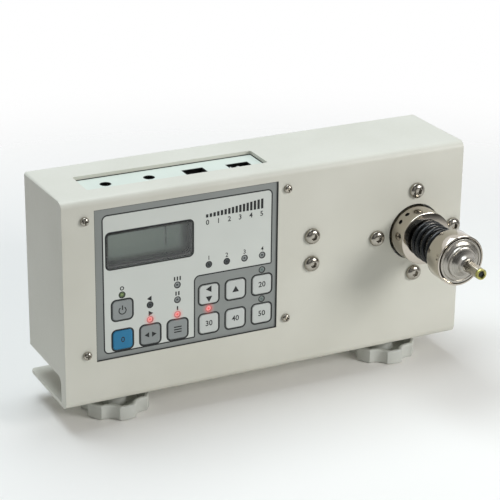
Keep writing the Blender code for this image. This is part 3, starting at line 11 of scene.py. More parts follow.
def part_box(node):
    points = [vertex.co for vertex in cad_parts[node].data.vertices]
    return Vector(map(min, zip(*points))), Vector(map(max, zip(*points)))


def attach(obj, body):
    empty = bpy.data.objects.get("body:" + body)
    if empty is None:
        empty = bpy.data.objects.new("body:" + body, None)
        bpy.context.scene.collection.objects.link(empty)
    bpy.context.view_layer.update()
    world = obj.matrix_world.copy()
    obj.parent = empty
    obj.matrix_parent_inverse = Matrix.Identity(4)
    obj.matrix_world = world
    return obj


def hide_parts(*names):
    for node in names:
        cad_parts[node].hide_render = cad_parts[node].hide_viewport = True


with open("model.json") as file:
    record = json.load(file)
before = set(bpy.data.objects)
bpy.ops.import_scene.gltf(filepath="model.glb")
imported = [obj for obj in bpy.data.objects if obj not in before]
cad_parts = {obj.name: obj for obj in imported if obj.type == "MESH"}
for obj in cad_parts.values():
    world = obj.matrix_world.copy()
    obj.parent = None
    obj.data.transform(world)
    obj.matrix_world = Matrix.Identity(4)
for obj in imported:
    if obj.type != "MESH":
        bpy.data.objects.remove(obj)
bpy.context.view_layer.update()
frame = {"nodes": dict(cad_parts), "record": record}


# Case: front, top, sides and base plate folded from 2.3 mm steel sheet and welded, then
# ground and sprayed with a fine-textured ivory paint that softens every edge. The open
# throat between box and base plate takes the edge of a bench.

SHEET = 2.3
TOP_BEND = 4.5
BASE_BEND = 5.5
SIDE_ROUND = 1.6
BOX_BOTTOM = 19.5
LIP_DEPTH = 8.2
LIP_CORNER = 5.0
PLATE_CORNER = 3.0
PANEL_GAP = 0.3
COLLAR_HOLE = 19.0
STUD_HOLE = 4.6
SLOT_WIDTH, SLOT_DEPTH, SLOT_CENTRE = 121.8, 24.8, (84.3, 29.1)
LUG_LENGTH, LUG_HEIGHT, LUG_INSET = 16.0, 14.0, 1.9
BEYOND = 2.0  # how far a cutter reaches past what it cuts

# Shapes are drawn in millimetres from the case's lower left front corner: x to the
# right, y from the front face inwards, z up from the underside of the base plate.
case_low, case_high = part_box("main_shell")
TO_WORLD = Matrix.Translation(case_low) @ Matrix.Scale(0.001, 4)
WIDTH, DEPTH, HEIGHT = ((high - low) * 1000 for low, high in zip(case_low, case_high))


def linear(hex_colour):
    """An sRGB hex colour as linear RGBA."""
    channels = []
    for i in (0, 2, 4):
        value = int(hex_colour[i : i + 2], 16) / 255
        low = value <= 0.04045
        channels.append(value / 12.92 if low else ((value + 0.055) / 1.055) ** 2.4)
    return (*channels, 1.0)


def add_node(material, kind, settings=None, links=None):
    """A shader node with its settings and input values or links."""
    tree = material.node_tree
    node = tree.nodes.new(kind)
    for key, value in (settings or {}).items():
        setattr(node, key, value)
    for key, value in (links or {}).items():
        socket = node.inputs[key]
        if isinstance(value, bpy.types.NodeSocket):
            tree.links.new(value, socket)
        else:
            socket.default_value = value
    return node


def new_material(name, base, roughness, metallic=0.0):
    """A material, its shader and the texture position in metres."""
    material = bpy.data.materials.new(name)
    material.use_nodes = True
    shader = material.node_tree.nodes["Principled BSDF"]
    shader.inputs["Base Color"].default_value = linear(base)
    shader.inputs["Roughness"].default_value = roughness
    shader.inputs["Metallic"].default_value = metallic
    material.diffuse_color = linear(base)
    position = add_node(material, "ShaderNodeTexCoord").outputs["Object"]
    return material, shader, position


def noise(material, position, size_mm, detail=2.0, rough=0.5, stretch=None):
    """Noise with features of about this size, drawn out along an axis by a small factor."""
    if stretch:
        position = add_node(
            material,
            "ShaderNodeVectorMath",
            {"operation": "MULTIPLY"},
            {0: position, 1: stretch},
        ).outputs[0]
    return add_node(
        material,
        "ShaderNodeTexNoise",
        None,
        {"Vector": position, "Scale": 1000 / size_mm, "Detail": detail, "Roughness": rough},
    ).outputs["Fac"]


NOISE_RANGE = {"From Min": 0.3, "From Max": 0.7}  # where nearly all of the noise lies


def vary_colour(material, shader, factor, dark, light):
    """Base colour between two tones, led by a noise."""
    ramp = add_node(material, "ShaderNodeMapRange", None, {"Value": factor, **NOISE_RANGE})
    mix = add_node(
        material,
        "ShaderNodeMix",
        {"data_type": "RGBA"},
        {"Factor": ramp.outputs[0], 6: linear(dark), 7: linear(light)},
    )
    material.node_tree.links.new(mix.outputs[2], shader.inputs["Base Color"])
    return mix.outputs[2]


def vary_roughness(material, shader, factor, smooth, rough):
    ramp = add_node(
        material,
        "ShaderNodeMapRange",
        None,
        {"Value": factor, **NOISE_RANGE, "To Min": smooth, "To Max": rough},
    )
    material.node_tree.links.new(ramp.outputs[0], shader.inputs["Roughness"])


def add_bump(material, shader, height, depth_mm, strength=1.0, below=None):
    """Relief of this depth, laid over another bump where one is given."""
    links = {"Height": height, "Distance": depth_mm / 1000, "Strength": strength}
    if below:
        links["Normal"] = below
    bump = add_node(material, "ShaderNodeBump", None, links)
    material.node_tree.links.new(bump.outputs[0], shader.inputs["Normal"])
    return bump.outputs[0]


def shell_paint():
    """Ivory powder coat: orange peel of 1.3 mm blurs the highlights, grain dulls them."""
    material, shader, position = new_material("ivory_powder_coat_on_steel", "CFCEC3", 0.45)
    shader.inputs["Specular IOR Level"].default_value = 0.45
    cloud = noise(material, position, 60, 3.0)
    vary_colour(material, shader, cloud, "CBCABE", "D3D2C7")
    peel = noise(material, position, 1.3, 2.0)
    vary_roughness(material, shader, peel, 0.38, 0.52)
    wave = add_bump(material, shader, peel, 0.05, 0.5)
    grain = noise(material, position, 0.3, 1.0)
    add_bump(material, shader, grain, 0.012, 0.5, wave)
    return material


def node_box(node):
    """Lowest and highest corner of a CAD node in the drawing's millimetres."""
    low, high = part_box(node)
    return (low - case_low) * 1000, (high - case_low) * 1000


def centre_of(node):
    low, high = node_box(node)
    return (low + high) / 2


def arc(centre, radius, first, last, steps=8):
    """Points on an arc between two angles in degrees, both ends included."""
    points = []
    for step in range(steps + 1):
        angle = math.radians(first + (last - first) * step / steps)
        points.append((centre[0] + radius * math.cos(angle), centre[1] + radius * math.sin(angle)))
    return points


def outline_circle(radius, centre=(0, 0), count=48, start=0.0):
    return arc(centre, radius, start, start + 360, count)[:-1]


def outline_rounded(width, height, radius, centre=(0, 0), steps=6):
    """A rectangle with round corners, anticlockwise."""
    points = []
    for quarter, (side, end) in enumerate(((1, 1), (-1, 1), (-1, -1), (1, -1))):
        corner = (
            centre[0] + side * (width / 2 - radius),
            centre[1] + end * (height / 2 - radius),
        )
        points += arc(corner, radius, 90 * quarter, 90 * quarter + 90, steps)
    return points


AXES = {
    "x": lambda u, v, w: (w, u, v),
    "y": lambda u, v, w: (u, w, v),
    "z": lambda u, v, w: (u, v, w),
}


def skin(rings, axis="z", closed=False, bm=None):
    """Faces between rings of equal count; each ring is its points and its place."""
    bm = bmesh.new() if bm is None else bm
    loops = [[bm.verts.new(AXES[axis](u, v, w)) for u, v in ring] for ring, w in rings]
    pairs = list(zip(loops, loops[1:]))
    if closed:
        pairs.append((loops[-1], loops[0]))
    for first, second in pairs:
        for i, vert in enumerate(first):
            n = (i + 1) % len(first)
            bm.faces.new((vert, first[n], second[n], second[i]))
    if not closed:
        bm.faces.new(loops[0][::-1])
        bm.faces.new(loops[-1])
    return bm


def prism(outline, low, high, axis="z", bm=None):
    return skin([(outline, low), (outline, high)], axis, bm=bm)


def box_shape(low, high, bm=None):
    outline = [(low[0], low[1]), (high[0], low[1]), (high[0], high[1]), (low[0], high[1])]
    return prism(outline, low[2], high[2], bm=bm)


def world_mesh(name, bm):
    """A drawn shape as a mesh in metres, where it stands."""
    bmesh.ops.recalc_face_normals(bm, faces=bm.faces)
    mesh = bpy.data.meshes.new(name)
    bm.to_mesh(mesh)
    bm.free()
    mesh.transform(TO_WORLD)
    return mesh


def placed(name, mesh, material, nodes, body="case", smooth=35):
    """A dressed piece from a mesh in metres, in place of CAD nodes, riding on their body."""
    mesh.materials.clear()
    mesh.materials.append(material)
    mesh.shade_smooth()
    mesh.set_sharp_from_angle(angle=math.radians(smooth))
    obj = bpy.data.objects.new(name, mesh)
    bpy.context.scene.collection.objects.link(obj)
    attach(obj, body)
    if nodes:
        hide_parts(*nodes)
    return obj


def piece(name, bm, material, nodes, body="case", smooth=35):
    """The same from a drawn shape."""
    return placed(name, world_mesh(name, bm), material, nodes, body, smooth)


def cut_out(obj, cutter_bm, operation="DIFFERENCE"):
    """Cut a shape away from a piece, or join it on, and keep the result as its mesh."""
    cutter = bpy.data.objects.new("cutter", world_mesh("cutter", cutter_bm))
    bpy.context.scene.collection.objects.link(cutter)
    modifier = obj.modifiers.new("cut", "BOOLEAN")
    modifier.operation = operation
    modifier.object = cutter
    graph = bpy.context.evaluated_depsgraph_get()
    mesh = bpy.data.meshes.new_from_object(obj.evaluated_get(graph))
    obj.modifiers.clear()
    obj.data = mesh
    bpy.data.objects.remove(cutter, do_unlink=True)


def soften_edges(obj, width, segments, angle):
    modifier = obj.modifiers.new("edge", "BEVEL")
    modifier.width = width / 1000
    modifier.segments = segments
    modifier.limit_method = "ANGLE"
    modifier.angle_limit = math.radians(angle)
    modifier.harden_normals = True


def side_outline(inset):
    """Side view of the folded sheet as (y, z), moved in by a distance."""
    behind = DEPTH if inset == 0 else DEPTH + SHEET
    top, base = TOP_BEND - inset, BASE_BEND - inset
    points = [(behind, inset), (behind, HEIGHT - inset)]
    points += arc((inset + top, HEIGHT - inset - top), top, 90, 180, 12)
    points += arc((inset + base, inset + base), base, 180, 270, 12)
    return points


def slot_outline(grow, corner):
    """The slot in the top, grown all round by a distance."""
    return outline_rounded(SLOT_WIDTH + 2 * grow, SLOT_DEPTH + 2 * grow, corner, SLOT_CENTRE)


def build_shell():
    bm = prism(side_outline(0), 0, WIDTH, "x")
    ends = []
    for edge in bm.edges:
        a, b = (vert.co for vert in edge.verts)
        across = abs(a.x - b.x) > 0.1
        behind = min(a.y, b.y) > DEPTH - 0.1
        below = max(a.z, b.z) < 0.1
        if not (across or behind or below):
            ends.append(edge)
    bmesh.ops.bevel(bm, geom=ends, offset=SIDE_ROUND, segments=8, profile=0.5, affect="EDGES")
    shell = piece("case_shell", bm, IVORY, ["main_shell"])
    cut_out(shell, prism(side_outline(SHEET), SHEET, WIDTH - SHEET, "x"))

    behind = DEPTH + SHEET
    lip = arc((LIP_DEPTH + LIP_CORNER, BOX_BOTTOM - LIP_CORNER), LIP_CORNER, 90, 180)
    throat = [(behind, SHEET), (behind, BOX_BOTTOM), *lip, (LIP_DEPTH, SHEET)]
    cut_out(shell, prism(throat, -SHEET, WIDTH + SHEET, "x"))

    corners = bmesh.new()
    for side, x in ((1, 0.0), (-1, WIDTH)):
        behind, out = DEPTH + BEYOND, x - side * BEYOND
        round_corner = arc(
            (x + side * PLATE_CORNER, DEPTH - PLATE_CORNER), PLATE_CORNER, 90 + 90 * side, 90
        )
        waste = [
            (out, behind),
            (out, DEPTH - PLATE_CORNER),
            *round_corner,
            (x + side * PLATE_CORNER, behind),
        ]
        prism(waste, -SHEET, SHEET * 2, bm=corners)
    cut_out(shell, corners)

    panel_low, panel_high = node_box("front_overlay")
    openings = box_shape(
        (panel_low.x - PANEL_GAP, -BEYOND, panel_low.z - PANEL_GAP),
        (panel_high.x + PANEL_GAP, SHEET + BEYOND, panel_high.z + PANEL_GAP),
    )
    collar = centre_of("adapter_base")
    hole = outline_circle(COLLAR_HOLE, (collar.x, collar.z), 96)
    prism(hole, -BEYOND, SHEET + BEYOND, "y", openings)
    for side in ("left", "right"):
        nut = centre_of(f"{side}_weld_nut")
        prism(outline_circle(STUD_HOLE, (nut.x, nut.y)), -BEYOND, SHEET + BEYOND, bm=openings)
    prism(slot_outline(0, 1.2), HEIGHT - SHEET - BEYOND, HEIGHT + BEYOND, bm=openings)
    cut_out(shell, openings)

    lugs = bmesh.new()
    for number in range(1, 5):
        screw = centre_of(f"rear_cover_screw_{number}")
        wall, side = (0, 1) if screw.x < WIDTH / 2 else (WIDTH, -1)
        low_x, high_x = sorted((wall + side * SHEET / 2, wall + side * LUG_LENGTH))
        back, half = DEPTH - LUG_INSET, LUG_HEIGHT / 2
        low, high = (low_x, back - SHEET, screw.z - half), (high_x, back, screw.z + half)
        box_shape(low, high, lugs)
    cut_out(shell, lugs, "UNION")
    soften_edges(shell, 0.4, 3, 50)


IVORY = shell_paint()
build_shell()


# Rear cover: an L of thinner sheet in the same paint, the back and floor of the box,
# slid in behind and held by four pan-head screws in the case's lugs.


def build_cover():
    low, high = node_box("rear_cover")
    sheet, bend = 1.6, 3.0
    centre = (high.y - bend, low.z + bend)
    outer, inner = arc(centre, bend, -90, 0), arc(centre, bend - sheet, -90, 0)
    outline = [(low.y, low.z), *outer, (high.y, high.z), (high.y - sheet, high.z)]
    outline += [*inner[::-1], (low.y, low.z + sheet)]
    bm = prism(outline, low.x, high.x, "x")
    cover = piece("back_and_floor_cover", bm, IVORY, ["rear_cover"])
    soften_edges(cover, 0.3, 2, 40)


build_cover()


# Keypad overlay: a stiff plate with a film printed from behind in greys and black,
# pierced for keys, lamps and window. The inks lie on it as separate thin layers.

COLUMNS = [38.7, 57.25, 75.8, 97.3, 134.4]
ROWS = [40.9 + 10 * row for row in range(5)]
TOP_PITCH = (COLUMNS[4] - COLUMNS[3]) / 3
LAMPS = [
    (COLUMNS[0], ROWS[3], "green"),
    (COLUMNS[1], ROWS[2], "dark"),
    (COLUMNS[1], ROWS[1], "red"),
    (COLUMNS[2], ROWS[3], "grey"),
    (COLUMNS[2], ROWS[2], "grey"),
    (COLUMNS[2], ROWS[1], "red"),
    (COLUMNS[3], ROWS[4], "dark"),
    (COLUMNS[3] + TOP_PITCH, ROWS[4], "dark"),
    (COLUMNS[4] - TOP_PITCH, ROWS[4], "grey"),
    (COLUMNS[4], ROWS[4], "grey"),
    (COLUMNS[4], ROWS[3], "pale"),
    (COLUMNS[4], ROWS[1], "pale"),
    (COLUMNS[3], ROWS[1], "red"),
]
KEY_COLOURS = {
    "power_key": "grey",
    "reset_key": "blue",
    "unit_key": "grey",
    "mode_key": "grey",
    "set_key": "light",
    "up_key": "light",
    "setting_key_top_right": "light",
    "setting_key_lower_left": "light",
    "setting_key_lower_middle": "light",
    "setting_key_lower_right": "light",
}
PANEL_LOW, PANEL_HIGH = node_box("front_overlay")
LIGHT_LOW, LIGHT_HIGH = (26.9, 33.6), (140.4, 123.8)
BLOCK_CORNER = (87.0, 74.9)
KEY_CORNER, WINDOW_CORNER = 2.3, 2.2
CUT_GAP = 0.3
LAMP_HOLE = 1.8
LINE = 0.85
INK = 0.02


def lamp_glow(material, shader, position, colour):
    """Red light that the lit lamps throw on the print up to 5 mm around them."""
    total = 0.0
    for x, z, state in LAMPS:
        if state != "red":
            continue
        place = TO_WORLD @ Vector((x, PANEL_LOW.y, z))
        away = add_node(
            material, "ShaderNodeVectorMath", {"operation": "DISTANCE"}, {0: position, 1: place}
        )
        near = add_node(
            material,
            "ShaderNodeMapRange",
            {"interpolation_type": "SMOOTHSTEP"},
            {
                "Value": away.outputs["Value"],
                "From Min": 0.001,
                "From Max": 0.005,
                "To Min": 0.45,
                "To Max": 0.0,
            },
        )
        total = add_node(
            material, "ShaderNodeMath", {"operation": "ADD"}, {0: near.outputs[0], 1: total}
        ).outputs[0]
    mix = add_node(
        material,
        "ShaderNodeMix",
        {"data_type": "RGBA"},
        {"Factor": total, 6: colour, 7: linear("F5908C")},
    )
    material.node_tree.links.new(mix.outputs[2], shader.inputs["Base Color"])


def film(name, colour, dark, light, roughness=0.42):
    """Matt polyester film: its velvet grain, drawn coarser than the real one so that it
    shows, spreads every highlight."""
    material, shader, position = new_material(name, colour, roughness)
    cloud = noise(material, position, 30, 2.0)
    tone = vary_colour(material, shader, cloud, dark, light)
    # Painted red light: pink mixed into the base colour round each lit lamp.
    lamp_glow(material, shader, position, tone)
    grain = noise(material, position, 0.25, 1.0)
    vary_roughness(material, shader, grain, roughness - 0.05, roughness + 0.08)
    add_bump(material, shader, grain, 0.01, 0.4)
    return material


def stood_up(curve, x, z, y):
    """The mesh of a flat curve or text, stood up across y at a place."""
    holder = bpy.data.objects.new("curve_holder", curve)
    bpy.context.scene.collection.objects.link(holder)
    bpy.context.view_layer.update()
    graph = bpy.context.evaluated_depsgraph_get()
    mesh = bpy.data.meshes.new_from_object(holder.evaluated_get(graph))
    bpy.data.objects.remove(holder, do_unlink=True)
    mesh.transform(TO_WORLD @ Matrix(((1, 0, 0, x), (0, 0, -1, y), (0, 1, 0, z), (0, 0, 0, 1))))
    return mesh


def flat_mesh(name, loops, front, thickness, edge=0):
    """A plate across y from outlines as (x, z); an outline inside another is a hole."""
    curve = bpy.data.curves.new(name, "CURVE")
    curve.dimensions = "2D"
    curve.fill_mode = "BOTH"
    curve.extrude = thickness / 2 - edge
    curve.bevel_depth = edge
    curve.bevel_resolution = 2
    curve.offset = -edge
    for loop in loops:
        spline = curve.splines.new("POLY")
        spline.points.add(len(loop) - 1)
        spline.use_cyclic_u = True
        for point, (x, z) in zip(spline.points, loop):
            point.co = (x, z, 0, 1)
    mesh = stood_up(curve, 0, 0, front + thickness / 2)
    mesh.name = name
    bm = bmesh.new()
    bm.from_mesh(mesh)
    bmesh.ops.remove_doubles(bm, verts=bm.verts, dist=1e-7)
    bmesh.ops.recalc_face_normals(bm, faces=bm.faces)
    bm.to_mesh(mesh)
    bm.free()
    return mesh


def flat_shape(name, loops, front, thickness, material, nodes=(), edge=0):
    mesh = flat_mesh(name, loops, front, thickness, edge)
    return placed(name, mesh, material, nodes, smooth=30)


def front_outline(node, corner, grow):
    """The rounded outline of a node as (x, z), grown all round by a distance."""
    low, high = node_box(node)
    middle = (low + high) / 2
    width, height = high.x - low.x + 2 * grow, high.z - low.z + 2 * grow
    return outline_rounded(width, height, corner + grow, (middle.x, middle.z))


def key_outline(node, grow):
    return front_outline(node, KEY_CORNER, grow)


def window_outline(grow):
    return front_outline("display_window", WINDOW_CORNER, grow)


def rounded(corners, steps=6):
    """An outline through right-angled corners given as (x, z, radius)."""
    points = []
    for number, (x, z, radius) in enumerate(corners):
        before, after = corners[number - 1], corners[(number + 1) % len(corners)]
        back = Vector((before[0] - x, before[1] - z)).normalized()
        onward = Vector((after[0] - x, after[1] - z)).normalized()
        middle = Vector((x, z)) + (back + onward) * radius
        for step in range(steps + 1):
            angle = math.radians(90 * step / steps)
            across = onward * math.cos(angle) + back * math.sin(angle)
            points.append(tuple(middle - across * radius))
    return points


def light_outline(grow):
    """The light area: an L round the block of setting keys, grown by a distance."""
    left, low = (value - grow for value in LIGHT_LOW)
    right, high = (value + grow for value in LIGHT_HIGH)
    block_left, block_top = BLOCK_CORNER[0] + grow, BLOCK_CORNER[1] - grow
    sharp, wide = 0.2 + grow, 2.8 + grow
    return rounded(
        [
            (left, low, wide),
            (block_left, low, sharp),
            (block_left, block_top, 3.8 - grow),
            (right, block_top, sharp),
            (right, high, wide),
            (left, high, wide),
        ]
    )


def in_block(x, z):
    return x > BLOCK_CORNER[0] and z < BLOCK_CORNER[1]


def panel_outline(grow, corner):
    middle = (PANEL_LOW + PANEL_HIGH) / 2
    size = PANEL_HIGH - PANEL_LOW
    return outline_rounded(size.x + grow, size.z + grow, corner, (middle.x, middle.z), 2)


def build_overlay():
    front, back = PANEL_LOW.y, PANEL_HIGH.y
    edge = panel_outline(0, 0.2)
    keys = [key_outline(node, CUT_GAP) for node in KEY_COLOURS]
    lamps = [outline_circle(LAMP_HOLE, (x, z), 24) for x, z, _ in LAMPS]
    flat_shape(
        "keypad_overlay",
        [edge, window_outline(CUT_GAP), *keys, *lamps],
        front,
        back - front,
        film("border_grey_printed_film", "898D8A", "878B88", "8B8F8C"),
        ["front_overlay"],
    )

    light_ink = film("light_grey_printed_film", "CCD0CA", "CACEC8", "CED2CC")
    holes = [window_outline(2 * CUT_GAP)]
    for node in KEY_COLOURS:
        place = centre_of(node)
        if not in_block(place.x, place.z):
            holes.append(key_outline(node, 2 * CUT_GAP))
    for x, z, _ in LAMPS:
        if not in_block(x, z):
            holes.append(outline_circle(LAMP_HOLE + 0.2, (x, z), 24))
    flat_shape("light_area", [light_outline(0.1), *holes], front - INK, INK, light_ink)

    def printed_line(name, outside, inside, ink=DARK_INK):
        flat_shape(name, [outside, inside], front - 2 * INK, INK, ink)

    outer = CUT_GAP + LINE
    printed_line("light_area_line", light_outline(LINE), light_outline(0))
    printed_line("window_line", window_outline(outer), window_outline(CUT_GAP))
    for node in KEY_COLOURS:
        printed_line(f"{node}_line", key_outline(node, outer), key_outline(node, CUT_GAP))
    # Round a lit lamp its printed ring is drawn red instead of black: painted red light that the
    # lamp throws on it.
    painted_red_glow_ink = film("painted_red_lamp_glow_ring", "C65A55", "C25651", "CA5E59")
    for number, (x, z, state) in enumerate(LAMPS, 1):
        rim, hole = (outline_circle(radius, (x, z), 32) for radius in (2.3, LAMP_HOLE))
        ink = painted_red_glow_ink if state == "red" else DARK_INK
        printed_line(f"lamp_line_{number}", rim, hole, ink)
    # A thin lining in the black ink round the opening's wall: painted shade where the wall beside
    # the sunken overlay lies in shadow.
    lining_depth = 0.35
    flat_shape(
        "opening_wall_painted_shade",
        [panel_outline(0.5, 0.3), edge],
        lining_depth,
        front - lining_depth,
        DARK_INK,
    )


DARK_INK = film("black_printed_line", "111415", "0F1213", "131617")
build_overlay()


# Display: a clear acrylic window over a liquid crystal glass set back in a black frame.
# Nothing lights it, so its segments stand dark grey on a grey-green reflector.

WELL_DEPTH = 3.6
GLASS = 0.3
FIGURE_HEIGHT = 14.0
FIGURE_FOOT = 6.2
FIGURE_SHARE = 0.735  # of the window's width, to the figure's right edge


def acrylic():
    """Clear acrylic, polished: sharp reflections, barely bent by faint rubbing marks."""
    material, shader, position = new_material("clear_acrylic_window", "F2F5F2", 0.005)
    shader.inputs["Transmission Weight"].default_value = 1.0
    shader.inputs["IOR"].default_value = 1.49
    shader.inputs["Specular IOR Level"].default_value = 0.3
    haze = noise(material, position, 6, 3.0)
    vary_roughness(material, shader, haze, 0.0, 0.01)
    add_bump(material, shader, haze, 0.02, 0.2)
    return material


def lcd_glass():
    """Reflective display glass: grey-green, with painted shade that darkens it towards the right
    and the bottom, and a painted shadow of the frame along its right and lower edge.
    """
    material, shader, position = new_material("grey_green_display_glass", "6E796F", 0.25)
    low, high = (TO_WORLD @ corner for corner in node_box("display_window"))
    split = add_node(material, "ShaderNodeSeparateXYZ", None, {0: position})
    colour = linear("78837B")
    # Painted shade: two broad ramps darken the glass towards the right and the bottom, and two
    # narrow bands paint the frame's shadow at its right and lower edge.
    for axis, start, end, dark in (
        ("X", low.x, high.x, "616D68"),
        ("Z", high.z, low.z, "55605B"),
        ("X", high.x - 0.008, high.x - 0.003, "12181B"),
        ("Z", low.z + 0.006, low.z + 0.001, "171D1C"),
    ):
        ramp = add_node(
            material,
            "ShaderNodeMapRange",
            {"interpolation_type": "SMOOTHSTEP"},
            {"Value": split.outputs[axis], "From Min": start, "From Max": end, "To Max": 0.85},
        )
        colour = add_node(
            material,
            "ShaderNodeMix",
            {"data_type": "RGBA"},
            {"Factor": ramp.outputs[0], 6: colour, 7: linear(dark)},
        ).outputs[2]
    material.node_tree.links.new(colour, shader.inputs["Base Color"])
    grain = noise(material, position, 0.4, 1.0)
    vary_roughness(material, shader, grain, 0.2, 0.3)
    return material


def black_moulding():
    """Satin black moulded plastic: a fine grain breaks up its soft highlights."""
    material, shader, position = new_material("black_moulded_plastic", "17191A", 0.45)
    grain = noise(material, position, 0.5, 2.0)
    vary_roughness(material, shader, grain, 0.38, 0.55)
    add_bump(material, shader, grain, 0.01, 0.4)
    return material


def upright_segments(x, foot):
    """The two upright bars of a figure one, pointed at their ends."""
    tip, gap, half = FIGURE_HEIGHT * 0.04, FIGURE_HEIGHT * 0.01, FIGURE_HEIGHT / 2
    shapes = []
    for base in (foot + half, foot):
        low, high = base + gap + tip / 2, base + half - gap - tip / 2
        shapes.append(
            [
                (x, low),
                (x + tip, low + tip),
                (x + tip, high - tip),
                (x, high),
                (x - tip, high - tip),
                (x - tip, low + tip),
            ]
        )
    return shapes


def build_display():
    low, high = node_box("display_window")
    flat_shape(
        "display_window_pane",
        [window_outline(0)],
        low.y,
        high.y - low.y,
        acrylic(),
        ["display_window"],
        edge=0.1,
    )
    border = [window_outline(0.5), window_outline(-1.2)]
    flat_shape("window_printed_border", border, high.y + 0.02, 0.1, BLACK)
    back_low, back_high = node_box("lcd_module")
    bottom = back_low.y + WELL_DEPTH
    module = piece("lcd_frame", box_shape(back_low, back_high), BLACK, ["lcd_module"])
    cut_out(module, box_shape((low.x, back_low.y - 1, low.z), (high.x, bottom, high.z)))
    face = bottom - GLASS
    glass = box_shape((low.x, face, low.z), (high.x, bottom, high.z))
    piece("lcd_glass", glass, lcd_glass(), [])
    faint, _, _ = new_material("faint_display_segment", "2B3535", 0.3)
    right = low.x + FIGURE_SHARE * (high.x - low.x)
    bars = upright_segments(right - FIGURE_HEIGHT * 0.04, low.z + FIGURE_FOOT)
    flat_shape("display_faint_figure", bars, face - INK, INK, faint)


BLACK = black_moulding()
build_display()


# Lamps: 3 mm light emitting diodes on the display board, their flat clear lenses just
# behind the overlay with the dark chip in the middle. Three red ones are lit.


def lamp_lens(name, colour, glow=0.0):
    """Diffused epoxy lens: soft and cloudy; a lit one gives off its own colour."""
    material, shader, position = new_material(name, colour, 0.3)
    cloud = noise(material, position, 0.8, 1.0)
    vary_roughness(material, shader, cloud, 0.25, 0.4)
    if glow:
        shader.inputs["Emission Color"].default_value = linear(colour)
        shader.inputs["Emission Strength"].default_value = glow
    return material


LAMP_LOOKS = {
    "red": (lamp_lens("lit_red_lens", "F09A97", 0.22), lamp_lens("lit_red_chip", "E8605C", 0.3)),
    "green": (lamp_lens("green_tinted_lens", "5F7348"), lamp_lens("green_lens_chip", "8FA06C")),
    "dark": (lamp_lens("dark_smoked_lens", "45494A"), lamp_lens("dark_lens_chip", "1C1F20")),
    "grey": (lamp_lens("grey_smoked_lens", "8F9392"), lamp_lens("grey_lens_chip", "3E4344")),
    "pale": (lamp_lens("grey_green_lens", "7F8A87"), lamp_lens("grey_green_lens_chip", "5D6967")),
}


def spun(profile, centre, axis="y", count=96, closed=False):
    """A turned shape from (radius, place) pairs about a centre line."""
    rings = [(outline_circle(radius, centre, count), place) for radius, place in profile]
    return skin(rings, axis, closed)


def build_lamps():
    face = PANEL_LOW.y + 0.12
    back = face + 2.2
    lens_profile = [
        (1.68, back),
        (1.68, face + 0.25),
        (1.55, face + 0.08),
        (1.3, face),
        (0.85, face),
        (0.7, face + 0.15),
        (0.7, back),
    ]
    chip_profile = [(0.72, back), (0.72, face + 0.2), (0.5, face + 0.1)]
    for number, (x, z, state) in enumerate(LAMPS, 1):
        lens_look, chip_look = LAMP_LOOKS[state]
        lens = spun(lens_profile, (x, z), count=32, closed=True)
        piece(f"lamp_lens_{number}", lens, lens_look, [])
        chip = spun(chip_profile, (x, z), count=24)
        piece(f"lamp_chip_{number}", chip, chip_look, [])


build_lamps()


# Keys: printed caps that stand a little proud of the overlay and travel 0.4 mm, each
# with a plain symbol or number in dark ink.

KEY_LOOKS = {
    "grey": film("grey_printed_key", "8C9190", "8A8F8E", "8E9392", 0.4),
    "blue": film("blue_printed_key", "16759F", "12719B", "1A79A3", 0.4),
    "light": film("light_printed_key", "C3C7C3", "C1C5C1", "C5C9C5", 0.4),
}
CAP_EDGE = ((1.2, 0.0), (0.5, 0.03), (0.2, 0.12), (0.05, 0.28), (0, 0.5), (0, 1.1))
STEM_RADIUS = 2.5
NUMBER_HEIGHT = 3.5


def triangle(x, z, size, turn):
    """An arrowhead about a point, turned by degrees from pointing up."""
    return arc((x, z), size, 90 + turn, 330 + turn, 2)


def bar(x, z, width, height):
    left, right, low, high = x - width / 2, x + width / 2, z - height / 2, z + height / 2
    return [(left, low), (right, low), (right, high), (left, high)]


def arc_band(x, z, radius, width, first, last):
    outer = arc((x, z), radius + width, first, last, 20)
    return outer + arc((x, z), radius, first, last, 20)[::-1]


def print_marks(name, shapes, numbers, front, body="case"):
    """Printed symbols as outlines, and bold plain numbers as (x, z, height, text)."""
    joined = bmesh.new()
    if shapes:
        joined.from_mesh(flat_mesh(name, shapes, front, INK))
    for x, z, height, text in numbers:
        curve = bpy.data.curves.new(name, "FONT")
        curve.body = text
        curve.align_x = curve.align_y = "CENTER"
        curve.size = height / 0.69  # a figure is 0.69 of the letter size
        curve.offset = height * 0.025
        curve.extrude = INK / 2
        curve.resolution_u = 3
        joined.from_mesh(stood_up(curve, x, z, front + INK / 2))
    mesh = bpy.data.meshes.new(name)
    joined.to_mesh(mesh)
    joined.free()
    placed(name, mesh, DARK_INK, [], body, 30)


KEY_MARKS = {
    "power_key": lambda x, z: [
        arc_band(x, z - 0.3, 2.0, 0.7, -235, 55),
        bar(x, z + 1.6, 0.75, 3.0),
    ],
    "unit_key": lambda x, z: [triangle(x - 2.0, z, 2.1, 90), triangle(x + 2.0, z, 2.1, -90)],
    "mode_key": lambda x, z: [bar(x, z + s, 5.2, 0.8) for s in (-1.7, 0, 1.7)],
    "set_key": lambda x, z: [triangle(x + 0.4, z + 3.5, 2.6, 90), triangle(x, z - 2.7, 2.6, 180)],
    "up_key": lambda x, z: [triangle(x, z - 0.3, 2.7, 0)],
}
KEY_NUMBERS = {
    "reset_key": "0",
    "setting_key_top_right": "20",
    "setting_key_lower_left": "30",
    "setting_key_lower_middle": "40",
    "setting_key_lower_right": "50",
}


